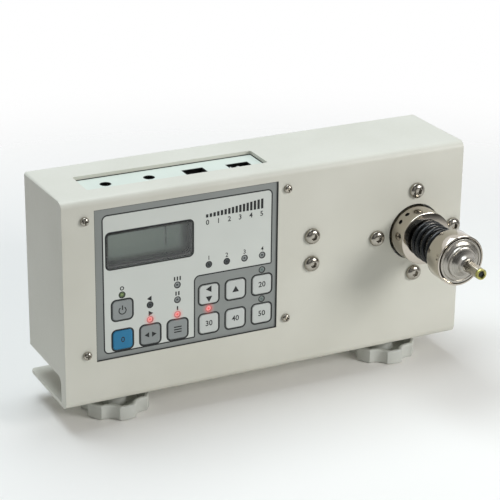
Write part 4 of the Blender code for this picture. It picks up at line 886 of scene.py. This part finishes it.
def build_keys():
    for node, colour in KEY_COLOURS.items():
        low, high = node_box(node)
        middle = (low + high) / 2
        x, z = middle.x, middle.z
        rings = []
        for inset, depth in CAP_EDGE:
            width, height = high.x - low.x - 2 * inset, high.z - low.z - 2 * inset
            ring = outline_rounded(width, height, KEY_CORNER - inset, (x, z), 8)
            rings.append((ring, low.y + depth))
        cap = piece(f"{node}_cap", skin(rings, "y"), KEY_LOOKS[colour], [node], node)
        stem = spun([(STEM_RADIUS, low.y + 0.8), (STEM_RADIUS, high.y)], (x, z), count=32)
        cut_out(cap, stem, "UNION")
        shapes = KEY_MARKS[node](x, z) if node in KEY_MARKS else []
        numbers = [(x, z, NUMBER_HEIGHT, KEY_NUMBERS[node])] if node in KEY_NUMBERS else []
        print_marks(f"{node}_mark", shapes, numbers, low.y - INK, node)


build_keys()


# Printed signs on the overlay: a rising scale in the upper right, and plain figures,
# bars and arrows above the lamps, in the same black ink.

SCALE_LEFT, SCALE_RIGHT, SCALE_BASE = 94.8, 135.2, 112.4
SCALE_BARS, SCALE_FIGURES = 16, 6
LOWEST_BAR, BAR_GROWTH, BAR_SHARE = 1.8, 4.8, 0.66
FIGURES_BELOW, SCALE_FIGURE_HEIGHT = 3.4, 3.2
SIGN_ABOVE, LAMP_FIGURE_HEIGHT = 4.3, 2.7


def build_signs():
    front = PANEL_LOW.y - 2 * INK
    pitch = (SCALE_RIGHT - SCALE_LEFT) / SCALE_BARS
    shapes, numbers = [], []
    for step in range(SCALE_BARS):
        height = LOWEST_BAR + BAR_GROWTH * (step + 1) / SCALE_BARS
        middle = SCALE_LEFT + pitch * (step + 0.5)
        shapes.append(bar(middle, SCALE_BASE + height / 2, BAR_SHARE * pitch, height))
    first, last = SCALE_LEFT + 1.5, SCALE_RIGHT - 1.5
    for step in range(SCALE_FIGURES):
        x = first + (last - first) * step / (SCALE_FIGURES - 1)
        numbers.append((x, SCALE_BASE - FIGURES_BELOW, SCALE_FIGURE_HEIGHT, str(step)))
    print_marks("scale_sign", shapes, numbers, front)

    shapes, numbers = [], []
    for x, z, _ in LAMPS:
        above = z + SIGN_ABOVE
        if z == ROWS[4]:
            place = round((x - COLUMNS[3]) / TOP_PITCH) + 1
            numbers.append((x, above, LAMP_FIGURE_HEIGHT, str(place)))
        elif x == COLUMNS[0]:
            shapes.append(arc_band(x, above, 0.75, 0.65, 0, 359))
        elif x == COLUMNS[1]:
            shapes.append(triangle(x, above - 0.1, 2.1, -90 if z == ROWS[1] else 90))
        elif x == COLUMNS[2]:
            count = ROWS.index(z)
            for i in range(count):
                middle = x + 1.9 * (i - (count - 1) / 2)
                shapes.append(bar(middle, above, 0.95, LAMP_FIGURE_HEIGHT))
    print_marks("lamp_signs", shapes, numbers, front)


build_signs()


# Screws: plated steel. Small pan heads with a cross hold the keypad and the cover, large
# button heads with a hexagon socket hold the sensor and its load cell.

PAN_HEAD = {"height": 2.1, "shank": 1.4, "cross": True}
BUTTON_HEAD = {"height": 3.3, "shank": 2.7, "cross": False}
CROSS_SPAN = 3.4
SOCKET_FLATS = 4.0
SOCKET_TURN = 17.19
RECESS_DEPTH = 1.6


def plated_steel():
    """Bright nickel-plated steel: mirror-like, with faint marks from tumbling."""
    material, shader, position = new_material("bright_plated_screw", "AAA59B", 0.2, 1.0)
    mark = noise(material, position, 1.2, 4.0, 0.6)
    vary_roughness(material, shader, mark, 0.14, 0.3)
    vary_colour(material, shader, mark, "9F9A90", "B3AEA4")
    add_bump(material, shader, mark, 0.015, 0.3)
    return material


def cross_recess(centre, span):
    arm, half = span / 2, span / 8
    corner = [(arm, half), (half, half), (half, arm), (-half, arm), (-half, half), (-arm, half)]
    return [(centre[0] + x, centre[1] + z) for x, z in corner + [(-x, -z) for x, z in corner]]


def build_screw(node, height, shank, cross):
    low, high = node_box(node)
    middle = (low + high) / 2
    centre = (middle.x, middle.z)
    head = max(high.x - low.x, high.z - low.z) / 2
    outer, sign, tip = (low.y, 1, high.y) if middle.y < DEPTH / 2 else (high.y, -1, low.y)
    seat = outer + sign * height
    flat = 0.25  # share of the head's radius that is flat round the recess
    profile = [(flat * head, outer)]
    for step in range(1, 13):
        angle = math.radians(90 - 90 * step / 12)
        radius = head * (flat + (1 - flat) * math.cos(angle) ** 0.9)
        profile.append((radius, outer + sign * height * 0.78 * (1 - math.sin(angle))))
    profile += [(head, seat - sign * 0.15), (head - 0.12, seat), (shank, seat), (shank, tip)]
    bm = spun(profile, centre, count=48)
    screw = piece(f"{node}_head", bm, SCREW_STEEL, [node])
    if cross:
        outline = cross_recess(centre, CROSS_SPAN)
    else:
        outline = outline_circle(SOCKET_FLATS / math.sqrt(3), centre, 6, SOCKET_TURN)
    cut_out(screw, prism(outline, *sorted((outer - sign, outer + sign * RECESS_DEPTH)), "y"))


SCREW_STEEL = plated_steel()
for screw_number in range(1, 5):
    build_screw(f"panel_screw_{screw_number}", **PAN_HEAD)
    build_screw(f"sensor_screw_{screw_number}", **BUTTON_HEAD)
    build_screw(f"rear_cover_screw_{screw_number}", **PAN_HEAD)
for screw_number in (1, 2):
    build_screw(f"load_cell_screw_{screw_number}", **BUTTON_HEAD)


# Socket bracket: painted sheet sunk under the slot in the top, with holes for a power
# jack, a signal jack, a modular socket and a data socket with a pale tongue.

JACK_Y = 28.6
JACK_RADIUS, JACK_BORE = 3.62, 2.9
CONTACT_PITCH, FIRST_CONTACT = 1.27, -3.2
CONTACT_WIDTH, CONTACT_NEAR, CONTACT_FAR = 0.4, 28.0, 29.6
CONTACT_FOOT, CONTACT_TIP = 5.0, 1.2
TONGUE_FOOT, TONGUE_TIP = 6.0, 1.2
SOCKET_SHAPES = (
    # node, width, depth, y of its middle, wall
    ("modular_socket", 14.4, 9.5, 27.0, 0.9),
    ("serial_socket", 15.3, 9.1, 25.5, 0.7),
)
TONGUE_PARTS = (
    # left and right from the socket's middle, near and far y
    (-6.4, 5.4, 24.0, 26.0),
    (-6.4, -4.6, 26.0, 28.4),
    (-1.0, 0.8, 26.0, 27.6),
)


def pale_paint():
    """Thin pale paint on the sunken sheet: smoother and greener than the case's."""
    material, shader, position = new_material("pale_green_white_sheet_paint", "CFD7CD", 0.5)
    cloud = noise(material, position, 30, 2.0)
    vary_colour(material, shader, cloud, "CDD5CB", "D1D9CF")
    peel = noise(material, position, 1.0, 2.0)
    add_bump(material, shader, peel, 0.03, 0.5)
    return material


def matt_black():
    """Matt black moulded plastic: deep in the holes, it gives back almost no light."""
    material, shader, position = new_material("matt_black_socket_plastic", "060707", 0.75)
    shader.inputs["Specular IOR Level"].default_value = 0.15
    grain = noise(material, position, 0.4, 2.0)
    vary_roughness(material, shader, grain, 0.7, 0.85)
    return material


def tongue_plastic():
    """Pale moulded plastic: its grain keeps the highlight soft."""
    material, shader, position = new_material("pale_socket_tongue_plastic", "C9CCC6", 0.45)
    grain = noise(material, position, 0.5, 2.0)
    vary_roughness(material, shader, grain, 0.4, 0.55)
    return material


def plain_finish(name, colour, roughness, metallic, mark_mm, spread):
    """A plain surface whose gloss wanders over marks of this size."""
    material, shader, position = new_material(name, colour, roughness, metallic)
    mark = noise(material, position, mark_mm, 3.0)
    vary_roughness(material, shader, mark, roughness - spread, roughness + spread)
    add_bump(material, shader, mark, 0.02, 0.4)
    return material


def dress(node, material):
    """A CAD node keeps its shape and gets this material."""
    mesh = frame["nodes"][node].data
    mesh.materials.clear()
    mesh.materials.append(material)


def build_sockets():
    dress("socket_bracket", pale_paint())
    matt = matt_black()
    rim = node_box("socket_bracket")[1].z - 0.1
    for node in ("dc_power_jack", "signal_output_jack"):
        dress(node, matt)
        x, top = centre_of(node).x, node_box(node)[1].z
        profile = [(JACK_RADIUS, top), (JACK_RADIUS, rim), (JACK_BORE, rim), (JACK_BORE, top)]
        nose = spun(profile, (x, JACK_Y), "z", 48, closed=True)
        piece(f"{node}_nose", nose, matt, [])
    for node, width, depth, y, wall in SOCKET_SHAPES:
        dress(node, matt)
        x, top = centre_of(node).x, node_box(node)[1].z
        outer = outline_rounded(width, depth, 0.3, (x, y), 2)
        inner = outline_rounded(width - 2 * wall, depth - 2 * wall, 0.3, (x, y), 2)
        rings = [(outer, top), (outer, rim), (inner, rim), (inner, top)]
        piece(f"{node}_nose", skin(rings, "z", True), matt, [])

    contact = plain_finish("gold_plated_contact", "B89A5A", 0.25, 1.0, 2, 0.05)
    middle, top = centre_of("modular_socket").x, node_box("modular_socket")[1].z
    for number in range(6):
        x, half = middle + FIRST_CONTACT + CONTACT_PITCH * number, CONTACT_WIDTH / 2
        wire = box_shape(
            (x - half, CONTACT_NEAR, top - CONTACT_FOOT), (x + half, CONTACT_FAR, top - CONTACT_TIP)
        )
        piece(f"modular_contact_{number + 1}", wire, contact, [])

    pale = tongue_plastic()
    middle = centre_of("serial_socket").x
    for number, (left, right, near, far) in enumerate(TONGUE_PARTS, 1):
        tongue = box_shape(
            (middle + left, near, rim - TONGUE_FOOT), (middle + right, far, rim - TONGUE_TIP)
        )
        piece(f"serial_tongue_{number}", tongue, pale, [])

    # The joint between the sheet and the slot's wall lies in deep shade.
    low, high = rim + 0.12, rim + 0.22
    wall, edge = slot_outline(0.4, 1.6), slot_outline(-0.55, 0.8)
    gap = skin([(wall, low), (wall, high), (edge, high), (edge, low)], "z", True)
    piece("slot_shadow_gap", gap, matt, [])


build_sockets()


# Run-down adapter: a polished collar with two set screws, a black compression spring, a
# polished cup with a turned disc, and a bolt with a quarter inch hexagon and a yellow
# ring at its tip. The collar's square drive sits in the torque shaft.

AXIS = (centre_of("adapter_base").x, centre_of("adapter_base").z)
BORE = 4.3
PILOT = 9.3
PILOT_LENGTH = 5.0
SEAT_DEPTH = 2.2
DRIVE_SQUARE = 12.7
SET_SCREW_ANGLES = (122.0, 143.0)
SET_SCREW_Y = -5.6
SET_SCREW_BORE, SET_SCREW_DEPTH = 1.6, 3.2
CUP_FLOOR, CUP_WALL = 3.0, 1.2
SPRING_RADIUS, WIRE = 13.3, 3.4
SPRING_GAP = 0.3
END_TURNS, END_PITCH, PITCH = 0.9, 3.7, 6.2
WIRE_SIDES, TURN_STEPS = 20, 72
HEX_FLATS = 6.35
TIP_LENGTH = 2.2


def polished_nickel():
    """Polished nickel plate: a warm mirror, with fine turning lines and light rubbing.
    The lines are drawn coarser than the real ones so that they show."""
    material, shader, position = new_material("polished_nickel_plate", "BFB8AD", 0.1, 1.0)
    smear = noise(material, position, 5, 4.0, 0.6)
    vary_roughness(material, shader, smear, 0.06, 0.16)
    line = noise(material, position, 0.25, 2.0, 0.5, (0.02, 1.0, 0.02))
    add_bump(material, shader, line, 0.004, 0.4)
    return material


def turned_steel():
    """Turned steel: rings of 0.2 mm round the axis fan the highlights out."""
    material, shader, position = new_material("turned_steel_face", "AAA69E", 0.26, 1.0)
    axis = centre_of("thrust_disc")
    place = TO_WORLD @ Vector((axis.x, 0, axis.z))
    local = add_node(
        material,
        "ShaderNodeVectorMath",
        {"operation": "SUBTRACT"},
        {0: position, 1: (place.x, 0, place.z)},
    )
    flat = add_node(
        material,
        "ShaderNodeVectorMath",
        {"operation": "MULTIPLY"},
        {0: local.outputs[0], 1: (1, 0, 1)},
    )
    radius = add_node(
        material, "ShaderNodeVectorMath", {"operation": "LENGTH"}, {0: flat.outputs[0]}
    )
    rings = add_node(
        material,
        "ShaderNodeTexNoise",
        {"noise_dimensions": "1D"},
        {"W": radius.outputs["Value"], "Scale": 1000 / 0.2, "Detail": 3.0},
    ).outputs["Fac"]
    vary_roughness(material, shader, rings, 0.2, 0.34)
    add_bump(material, shader, rings, 0.02, 0.5)
    return material


def black_oxide(name):
    """Oiled black oxide on steel: near black, with a broad oily sheen."""
    material, shader, position = new_material(name, "0E1113", 0.3)
    shader.inputs["Specular IOR Level"].default_value = 0.4
    mark = noise(material, position, 0.8, 3.0)
    vary_roughness(material, shader, mark, 0.22, 0.34)
    vary_colour(material, shader, mark, "0C0F11", "121619")
    add_bump(material, shader, mark, 0.004, 0.3)
    return material


def ground_steel():
    """Ground steel: streaks along the hexagon draw each flat's highlight out."""
    material, shader, position = new_material("ground_hexagon_steel", "AFA99C", 0.22, 1.0)
    line = noise(material, position, 0.3, 2.0, 0.5, (1.0, 0.03, 1.0))
    vary_roughness(material, shader, line, 0.15, 0.32)
    add_bump(material, shader, line, 0.01, 0.4)
    return material


def yellow_passivation():
    """Yellow passivated zinc: a patchy greenish gold film over a soft metal shine."""
    material, shader, position = new_material("yellow_passivated_tip", "B3AC62", 0.28, 1.0)
    stain = noise(material, position, 1.5, 3.0)
    vary_colour(material, shader, stain, "999B4E", "C6BC84")
    vary_roughness(material, shader, stain, 0.2, 0.4)
    return material


def build_collar():
    low, high = node_box("adapter_base")
    pilot_end, face = low.y, low.y + PILOT_LENGTH
    radius = (high.x - low.x) / 2
    profile = [
        (6.0, SEAT_DEPTH),
        (radius - 0.5, SEAT_DEPTH),
        (radius, SEAT_DEPTH - 0.5),
        (radius, face + 0.6),
        (radius - 0.2, face + 0.18),
        (radius - 0.6, face),
        (PILOT, face),
        (PILOT, pilot_end + 0.5),
        (PILOT - 0.5, pilot_end),
        (BORE, pilot_end),
        (BORE, face + 6),
        (BORE, 1.0),
        (6.0, 1.0),
    ]
    bm = spun(profile, AXIS, closed=True)
    collar = piece("adapter_collar", bm, NICKEL, ["adapter_base"])
    square = outline_rounded(DRIVE_SQUARE, DRIVE_SQUARE, 1.0, AXIS)
    cut_out(collar, prism(square, 1.5, high.y, "y"), "UNION")

    bores = bmesh.new()
    oxide = black_oxide("black_oxide_set_screw")
    top = radius - 1.05
    screw_profile = [
        (1.5, radius - 3.1),
        (1.5, top - 0.25),
        (1.25, top),
        (0.85, top),
        (0.85, radius - 2.4),
    ]
    for number, degrees in enumerate(SET_SCREW_ANGLES, 1):
        out = Vector((math.cos(math.radians(degrees)), 0, math.sin(math.radians(degrees))))
        turn = out.to_track_quat("Z", "Y").to_matrix().to_4x4()
        seat = Matrix.Translation((AXIS[0], SET_SCREW_Y, AXIS[1])) @ turn
        start = len(bores.verts)
        circle = outline_circle(SET_SCREW_BORE, (0, 0), 32)
        prism(circle, radius - SET_SCREW_DEPTH, radius + 1, bm=bores)
        bores.verts.ensure_lookup_table()
        bmesh.ops.transform(bores, matrix=seat, verts=bores.verts[start:])
        screw = spun(screw_profile, (0, 0), "z", 32)
        bmesh.ops.transform(screw, matrix=seat, verts=screw.verts)
        piece(f"collar_set_screw_{number}", screw, oxide, [])
    cut_out(collar, bores)
    return face


def coil_rise(turn, open_turns):
    """How far the wire has climbed after some turns, and its climb per turn there."""
    if turn < END_TURNS:
        return turn * END_PITCH, END_PITCH
    base = END_TURNS * END_PITCH
    if turn < END_TURNS + open_turns:
        return base + (turn - END_TURNS) * PITCH, PITCH
    beyond = turn - END_TURNS - open_turns
    return base + open_turns * PITCH + beyond * END_PITCH, END_PITCH


def build_spring(collar_face):
    mean = SPRING_RADIUS - WIRE / 2
    cup_back = node_box("adapter_cup")[1].y - PILOT_LENGTH
    start, end = collar_face - SPRING_GAP - WIRE / 2, cup_back + SPRING_GAP + WIRE / 2
    open_turns = (start - end - 2 * END_TURNS * END_PITCH) / PITCH
    total = 2 * END_TURNS + open_turns
    steps = int(total * TURN_STEPS)
    bm = bmesh.new()
    loops = []
    for step in range(steps + 1):
        turn = total * step / steps
        rise, slope = coil_rise(turn, open_turns)
        angle = math.tau * turn
        out = Vector((math.cos(angle), 0, math.sin(angle)))
        along = Vector((-math.sin(angle) * mean, -slope / math.tau, math.cos(angle) * mean))
        across = along.normalized().cross(out)
        middle = Vector((AXIS[0], start - rise, AXIS[1])) + out * mean
        loop = []
        for u, v in outline_circle(WIRE / 2, (0, 0), WIRE_SIDES):
            loop.append(bm.verts.new(middle + out * u + across * v))
        loops.append(loop)
    for first, second in zip(loops, loops[1:]):
        for k in range(WIRE_SIDES):
            n = (k + 1) % WIRE_SIDES
            bm.faces.new((first[k], first[n], second[n], second[k]))
    bm.faces.new(loops[0][::-1])
    bm.faces.new(loops[-1])
    oxide = black_oxide("oiled_black_oxide_spring")
    piece("coil_spring", bm, oxide, ["adapter_spring"])


def build_cup():
    low, high = node_box("adapter_cup")
    radius = (high.x - low.x) / 2
    front, back = low.y, high.y - PILOT_LENGTH
    floor, inside = back - CUP_FLOOR, radius - CUP_WALL
    profile = [
        (BORE, floor),
        (inside, floor),
        (inside, front + 0.3),
        (inside + 0.25, front),
        (radius - 0.35, front),
        (radius - 0.1, front + 0.12),
        (radius, front + 0.45),
        (radius, back - 0.6),
        (radius - 0.2, back - 0.15),
        (radius - 0.6, back),
        (PILOT, back),
        (PILOT, high.y - 0.5),
        (PILOT - 0.5, high.y),
        (BORE, high.y),
    ]
    bm = spun(profile, AXIS, closed=True)
    piece("adapter_cup_body", bm, NICKEL, ["adapter_cup"], "adapter_slider")
    return front


def build_disc(front):
    low, high = node_box("thrust_disc")
    radius = (high.x - low.x) / 2
    face, boss, top = front - 0.4, front - 3.4, front - 9.3
    profile = [
        (BORE, high.y),
        (radius, high.y),
        (radius, face + 0.5),
        (radius - 0.15, face + 0.12),
        (radius - 0.5, face),
        (13.4, face),
        (13.1, face + 0.35),
        (12.6, face - 0.1),
        (11.9, face - 0.25),
        (11.2, face - 0.6),
        (10.6, face - 1.2),
        (10.35, boss + 0.9),
        (10.25, boss + 0.4),
        (9.8, boss + 0.05),
        (9.4, boss),
        (8.9, boss),
        (8.6, boss - 0.3),
    ]
    for step in range(1, 11):
        share = step / 10
        hollow = 0.5 * math.sin(math.pi * share)
        profile.append((8.6 - 3.1 * share - hollow, boss - 0.3 - 4.6 * share))
    profile += [(5.1, top + 0.5), (4.8, top + 0.1), (4.5, top), (4.05, top)]
    bm = spun(profile, AXIS, closed=True)
    disc_steel = turned_steel()
    piece("turned_thrust_disc", bm, disc_steel, ["thrust_disc"], "adapter_screw")
    return top


def at_radius(points, centre, radius, most=math.inf):
    """Points moved along their spokes to a radius, by no more than a factor."""
    result = []
    for x, z in points:
        dx, dz = x - centre[0], z - centre[1]
        scale = min(most, radius / math.hypot(dx, dz))
        result.append((centre[0] + dx * scale, centre[1] + dz * scale))
    return result


def build_bolt(top):
    low, high = node_box("drive_bolt")
    tip, hex_front = low.y, low.y + TIP_LENGTH
    corners = outline_circle(HEX_FLATS / math.sqrt(3), AXIS, 6)
    hexagon = []
    for (x, z), (next_x, next_z) in zip(corners, corners[1:] + corners[:1]):
        for step in range(8):
            hexagon.append((x + (next_x - x) * step / 8, z + (next_z - z) * step / 8))
    shank = at_radius(hexagon, AXIS, 4.0)
    rings = [
        (at_radius(hexagon, AXIS, 3.2, 1.0), hex_front - 0.2),
        (at_radius(hexagon, AXIS, 3.45, 1.0), hex_front),
        (hexagon, hex_front + 0.35),
        (hexagon, top - 0.3),
        (shank, top + 0.3),
        (shank, high.y - 0.8),
        (at_radius(shank, AXIS, 3.2), high.y),
    ]
    slot, body = "polished_nickel", "adapter_screw"
    piece("drive_bolt_hexagon", skin(rings, "y"), ground_steel(), ["drive_bolt"], body)
    profile = [
        (3.45, hex_front + 0.1),
        (3.55, hex_front - 0.2),
        (3.6, tip + 0.5),
        (3.45, tip + 0.12),
        (3.1, tip),
        (2.6, tip),
        (2.1, tip + 0.5),
        (2.1, tip + 1.7),
        (2.6, hex_front + 0.1),
    ]
    ring = spun(profile, AXIS, closed=True, count=64)
    piece("bolt_tip_ring", ring, yellow_passivation(), [], body)
    # A black disc set shallow in the tip's socket: painted shade where the deep socket lies dark.
    socket = spun([(2.3, tip + 1.9), (2.3, tip + 1.3), (0.9, tip + 1.1)], AXIS, count=32)
    dark = black_oxide("painted_shade_bit_socket")
    piece("bolt_tip_socket", socket, dark, [], body)


NICKEL = polished_nickel()
build_spring(build_collar())
build_bolt(build_disc(build_cup()))


# Clamp knobs: light grey moulded stars with an open hollow above, on plated studs that
# screw through nuts welded on the base plate.

KNOB_RADIUS = 21.85
KNOB_HEIGHT = 9.8
FLUTE_ANGLE = 31.5
FLUTE_RADIUS = 8.5
LOBES = 6
ARC_STEPS = 10
HOLLOW_FLOOR = 3.2


def knob_plastic():
    """Light grey moulded plastic: an eroded texture of 0.5 mm leaves hardly any shine."""
    material, shader, position = new_material("light_grey_knob_moulding", "C6C8C1", 0.5)
    cloud = noise(material, position, 15, 2.0)
    vary_colour(material, shader, cloud, "C2C4BD", "CACCC5")
    grain = noise(material, position, 0.5, 2.0)
    vary_roughness(material, shader, grain, 0.42, 0.6)
    add_bump(material, shader, grain, 0.02, 0.5)
    return material


def knob_outline(centre, inset, facing_degrees):
    """Six lobes with round flutes between them; the first flute faces this way."""
    half = math.radians(FLUTE_ANGLE / 2)
    chord = KNOB_RADIUS * math.sin(half)
    distance = KNOB_RADIUS * math.cos(half) + math.sqrt(FLUTE_RADIUS**2 - chord**2)
    flute, lobe = FLUTE_RADIUS + inset, KNOB_RADIUS - inset
    cross = math.acos((distance**2 + lobe**2 - flute**2) / (2 * distance * lobe))
    swing = math.degrees(math.asin(lobe * math.sin(cross) / flute))
    cross = math.degrees(cross)
    points = []
    for number in range(LOBES):
        facing = facing_degrees + 360 * number / LOBES
        turn = math.radians(facing)
        flute_centre = (
            centre[0] + distance * math.cos(turn),
            centre[1] + distance * math.sin(turn),
        )
        towards = facing + 180
        points += arc(flute_centre, flute, towards + swing, towards - swing, ARC_STEPS)
        next_flute = facing + 360 / LOBES - cross
        points += arc(centre, lobe, facing + cross, next_flute, ARC_STEPS)[1:-1]
    return points


def build_knob(side, facing_degrees, plastic):
    low, high = node_box(f"{side}_clamp_knob")
    washer = centre_of(f"{side}_knob_washer")
    centre = (washer.x, washer.y)
    top, bottom = low.z + KNOB_HEIGHT, low.z
    rings = []
    for inset, z in (
        (1.1, bottom),
        (0.7, bottom + 0.08),
        (0.3, bottom + 0.32),
        (0.06, bottom + 0.75),
        (0, bottom + 1.3),
        (0, top - 1.2),
        (0.08, top - 0.6),
        (0.35, top - 0.2),
        (0.8, top),
        (2.0, top),
        (2.35, top - 0.15),
        (2.4, top - 0.5),
        (2.6, bottom + HOLLOW_FLOOR),
    ):
        rings.append((knob_outline(centre, inset, facing_degrees), z))
    full = knob_outline(centre, 0, facing_degrees)
    for radius, z in (
        (7.8, bottom + HOLLOW_FLOOR),
        (7.5, bottom + HOLLOW_FLOOR + 0.4),
        (7.5, high.z - 0.2),
        (7.3, high.z),
        (4.3, high.z),
        (4.3, bottom + 1.6),
    ):
        rings.append((at_radius(full, centre, radius), z))
    name, node, slot = f"{side}_star_knob", f"{side}_clamp_knob", "grey_moulded_knob_plastic"
    piece(name, skin(rings), plastic, [node], f"{side}_knob", smooth=50)


GREY_PLASTIC = knob_plastic()
build_knob("left", -119.0, GREY_PLASTIC)
build_knob("right", -124.3, GREY_PLASTIC)


# Inside: boards, shaft, bearings, load cell and cells are hidden by the closed case, so
# they keep their plain CAD shapes, each in the finish of its own material.

INSIDE_LOOKS = {
    "zinc_plated_sheet": plain_finish("zinc_plated_sheet", "B4B8BB", 0.35, 1.0, 4, 0.1),
    "turned_steel": plain_finish("turned_bright_steel", "BDBAB3", 0.25, 1.0, 1, 0.08),
    "machined_aluminium": plain_finish("machined_aluminium", "C2C5C8", 0.3, 1.0, 2, 0.1),
    "green_circuit_board": plain_finish("green_solder_resist", "1F5B3A", 0.4, 0.0, 3, 0.1),
    "black_moulded_plastic": BLACK,
    "green_cell_wrap": plain_finish("green_shrink_wrap", "3E7F52", 0.35, 0.0, 6, 0.1),
}
for entry in frame["record"]["subparts"]:
    look = INSIDE_LOOKS.get(entry["material_slot"])
    if look and not frame["nodes"][entry["node"]].hide_render:
        dress(entry["node"], look)


# Floor: a plain white paper sheet under the meter that takes its shadow and fades into
# the white background away from it.

FLOOR_HALF = 1.5  # here and below, metres
FADE_START, FADE_END = 0.25, 0.7


def build_floor():
    material, shader, position = new_material("white_paper_floor", "F6F4F0", 0.8)
    shader.inputs["Specular IOR Level"].default_value = 0.1
    grain = noise(material, position, 2, 2.0)
    add_bump(material, shader, grain, 0.02, 0.3)
    distance = add_node(material, "ShaderNodeVectorMath", {"operation": "LENGTH"}, {0: position})
    fade = add_node(
        material,
        "ShaderNodeMapRange",
        {"interpolation_type": "SMOOTHSTEP"},
        {"Value": distance.outputs["Value"], "From Min": FADE_START, "From Max": FADE_END},
    )
    clear = add_node(material, "ShaderNodeBsdfTransparent")
    mix = add_node(
        material,
        "ShaderNodeMixShader",
        None,
        {0: fade.outputs[0], 1: shader.outputs[0], 2: clear.outputs[0]},
    )
    tree = material.node_tree
    tree.links.new(mix.outputs[0], tree.nodes["Material Output"].inputs["Surface"])
    mesh = bpy.data.meshes.new("floor")
    corners = [(x * FLOOR_HALF, y * FLOOR_HALF, 0) for x, y in ((-1, -1), (1, -1), (1, 1), (-1, 1))]
    mesh.from_pydata(corners, [], [(0, 1, 2, 3)])
    mesh.materials.append(material)
    floor = bpy.data.objects.new("floor", mesh)
    bpy.context.scene.collection.objects.link(floor)


build_floor()


# Studio: a white room that the camera and clear parts see at full strength. Metal sees
# it dark towards the camera and bright behind, with the pale table below; matt surfaces
# get a little of it as fill light.

ROOM_FILL = 0.245
ROOM_DARK = 0.08
TABLE_BRIGHT = 0.55


def build_world():
    world = bpy.data.worlds.new("studio")
    bpy.context.scene.world = world
    world.use_nodes = True

    def math_node(operation, first, second):
        settings = {"operation": operation}
        return add_node(world, "ShaderNodeMath", settings, {0: first, 1: second}).outputs[0]

    path = add_node(world, "ShaderNodeLightPath").outputs
    direction = add_node(world, "ShaderNodeTexCoord").outputs["Generated"]
    split = add_node(world, "ShaderNodeSeparateXYZ", None, {0: direction}).outputs
    smooth = {"interpolation_type": "SMOOTHSTEP"}
    room = add_node(
        world,
        "ShaderNodeMapRange",
        smooth,
        {"Value": split["Y"], "From Min": -0.45, "From Max": 0.35, "To Min": ROOM_DARK},
    )
    table = add_node(
        world,
        "ShaderNodeMapRange",
        smooth,
        {"Value": split["Z"], "From Min": 0.0, "From Max": -0.3, "To Max": TABLE_BRIGHT},
    )
    seen = math_node("ADD", path["Is Camera Ray"], path["Is Transmission Ray"])
    around = math_node("MAXIMUM", room.outputs[0], table.outputs[0])
    mirrored = math_node("MULTIPLY", path["Is Glossy Ray"], around)
    fill = math_node("MULTIPLY", path["Is Diffuse Ray"], ROOM_FILL)
    strength = math_node("MAXIMUM", math_node("MAXIMUM", seen, mirrored), fill)
    background = world.node_tree.nodes["Background"]
    background.inputs["Color"].default_value = (1, 1, 1, 1)
    world.node_tree.links.new(strength, background.inputs["Strength"])


def area_lamp(name, place, side, power, colour="FFFFFF"):
    """A square soft box aimed at the meter's middle."""
    light = bpy.data.lights.new(name, "AREA")
    light.shape = "RECTANGLE"
    light.size = light.size_y = side
    light.energy = power
    light.color = linear(colour)[:3]
    lamp = bpy.data.objects.new(name, light)
    bpy.context.scene.collection.objects.link(lamp)
    lamp.location = place
    lamp.rotation_mode = "QUATERNION"
    target = Vector((0, 0, 0.07))
    lamp.rotation_quaternion = (Vector(place) - target).to_track_quat("Z", "Y")


build_world()
area_lamp("key_light", (0.54, -0.68, 0.42), 0.32, 4.4)
area_lamp("top_light", (-0.1, 0.3, 1.1), 0.8, 9.9, "EEF8FF")
area_lamp("front_fill", (-0.25, -1.1, 0.6), 0.8, 0.7)


# Camera: a long lens a little above and to the left of the meter. Its place, turn and
# focal length come from a fit to the case's corners in the photograph.

CAMERA_TURN, CAMERA_TILT, CAMERA_ROLL = -26.496, 22.013, 0.659
AIM = (140, 0, 75)
CAMERA_RIGHT, CAMERA_UP, CAMERA_BACK = -13.185, 8.210, 1206.918
FOCAL_PIXELS, FRAME_PIXELS = 1908.33, 500  # focal length in pixels of the square frame
SENSOR = 36


def build_camera():
    azimuth, tilt, roll = (math.radians(a) for a in (CAMERA_TURN, CAMERA_TILT, CAMERA_ROLL))
    level = Vector((math.cos(azimuth), math.sin(azimuth), 0))
    back = Vector(
        (
            math.sin(azimuth) * math.cos(tilt),
            -math.cos(azimuth) * math.cos(tilt),
            math.sin(tilt),
        )
    )
    upward = back.cross(level)
    right = math.cos(roll) * level + math.sin(roll) * upward
    up = -math.sin(roll) * level + math.cos(roll) * upward
    place = Vector(AIM) + right * CAMERA_RIGHT + up * CAMERA_UP + back * CAMERA_BACK
    data = bpy.data.cameras.new("camera")
    data.sensor_width = SENSOR
    data.lens = FOCAL_PIXELS / FRAME_PIXELS * SENSOR
    camera = bpy.data.objects.new("camera", data)
    bpy.context.scene.collection.objects.link(camera)
    camera.rotation_mode = "QUATERNION"
    camera.rotation_quaternion = Matrix((right, up, back)).transposed().to_quaternion()
    camera.location = TO_WORLD @ place
    bpy.context.scene.camera = camera


build_camera()
bpy.context.scene.view_settings.view_transform = "Standard"
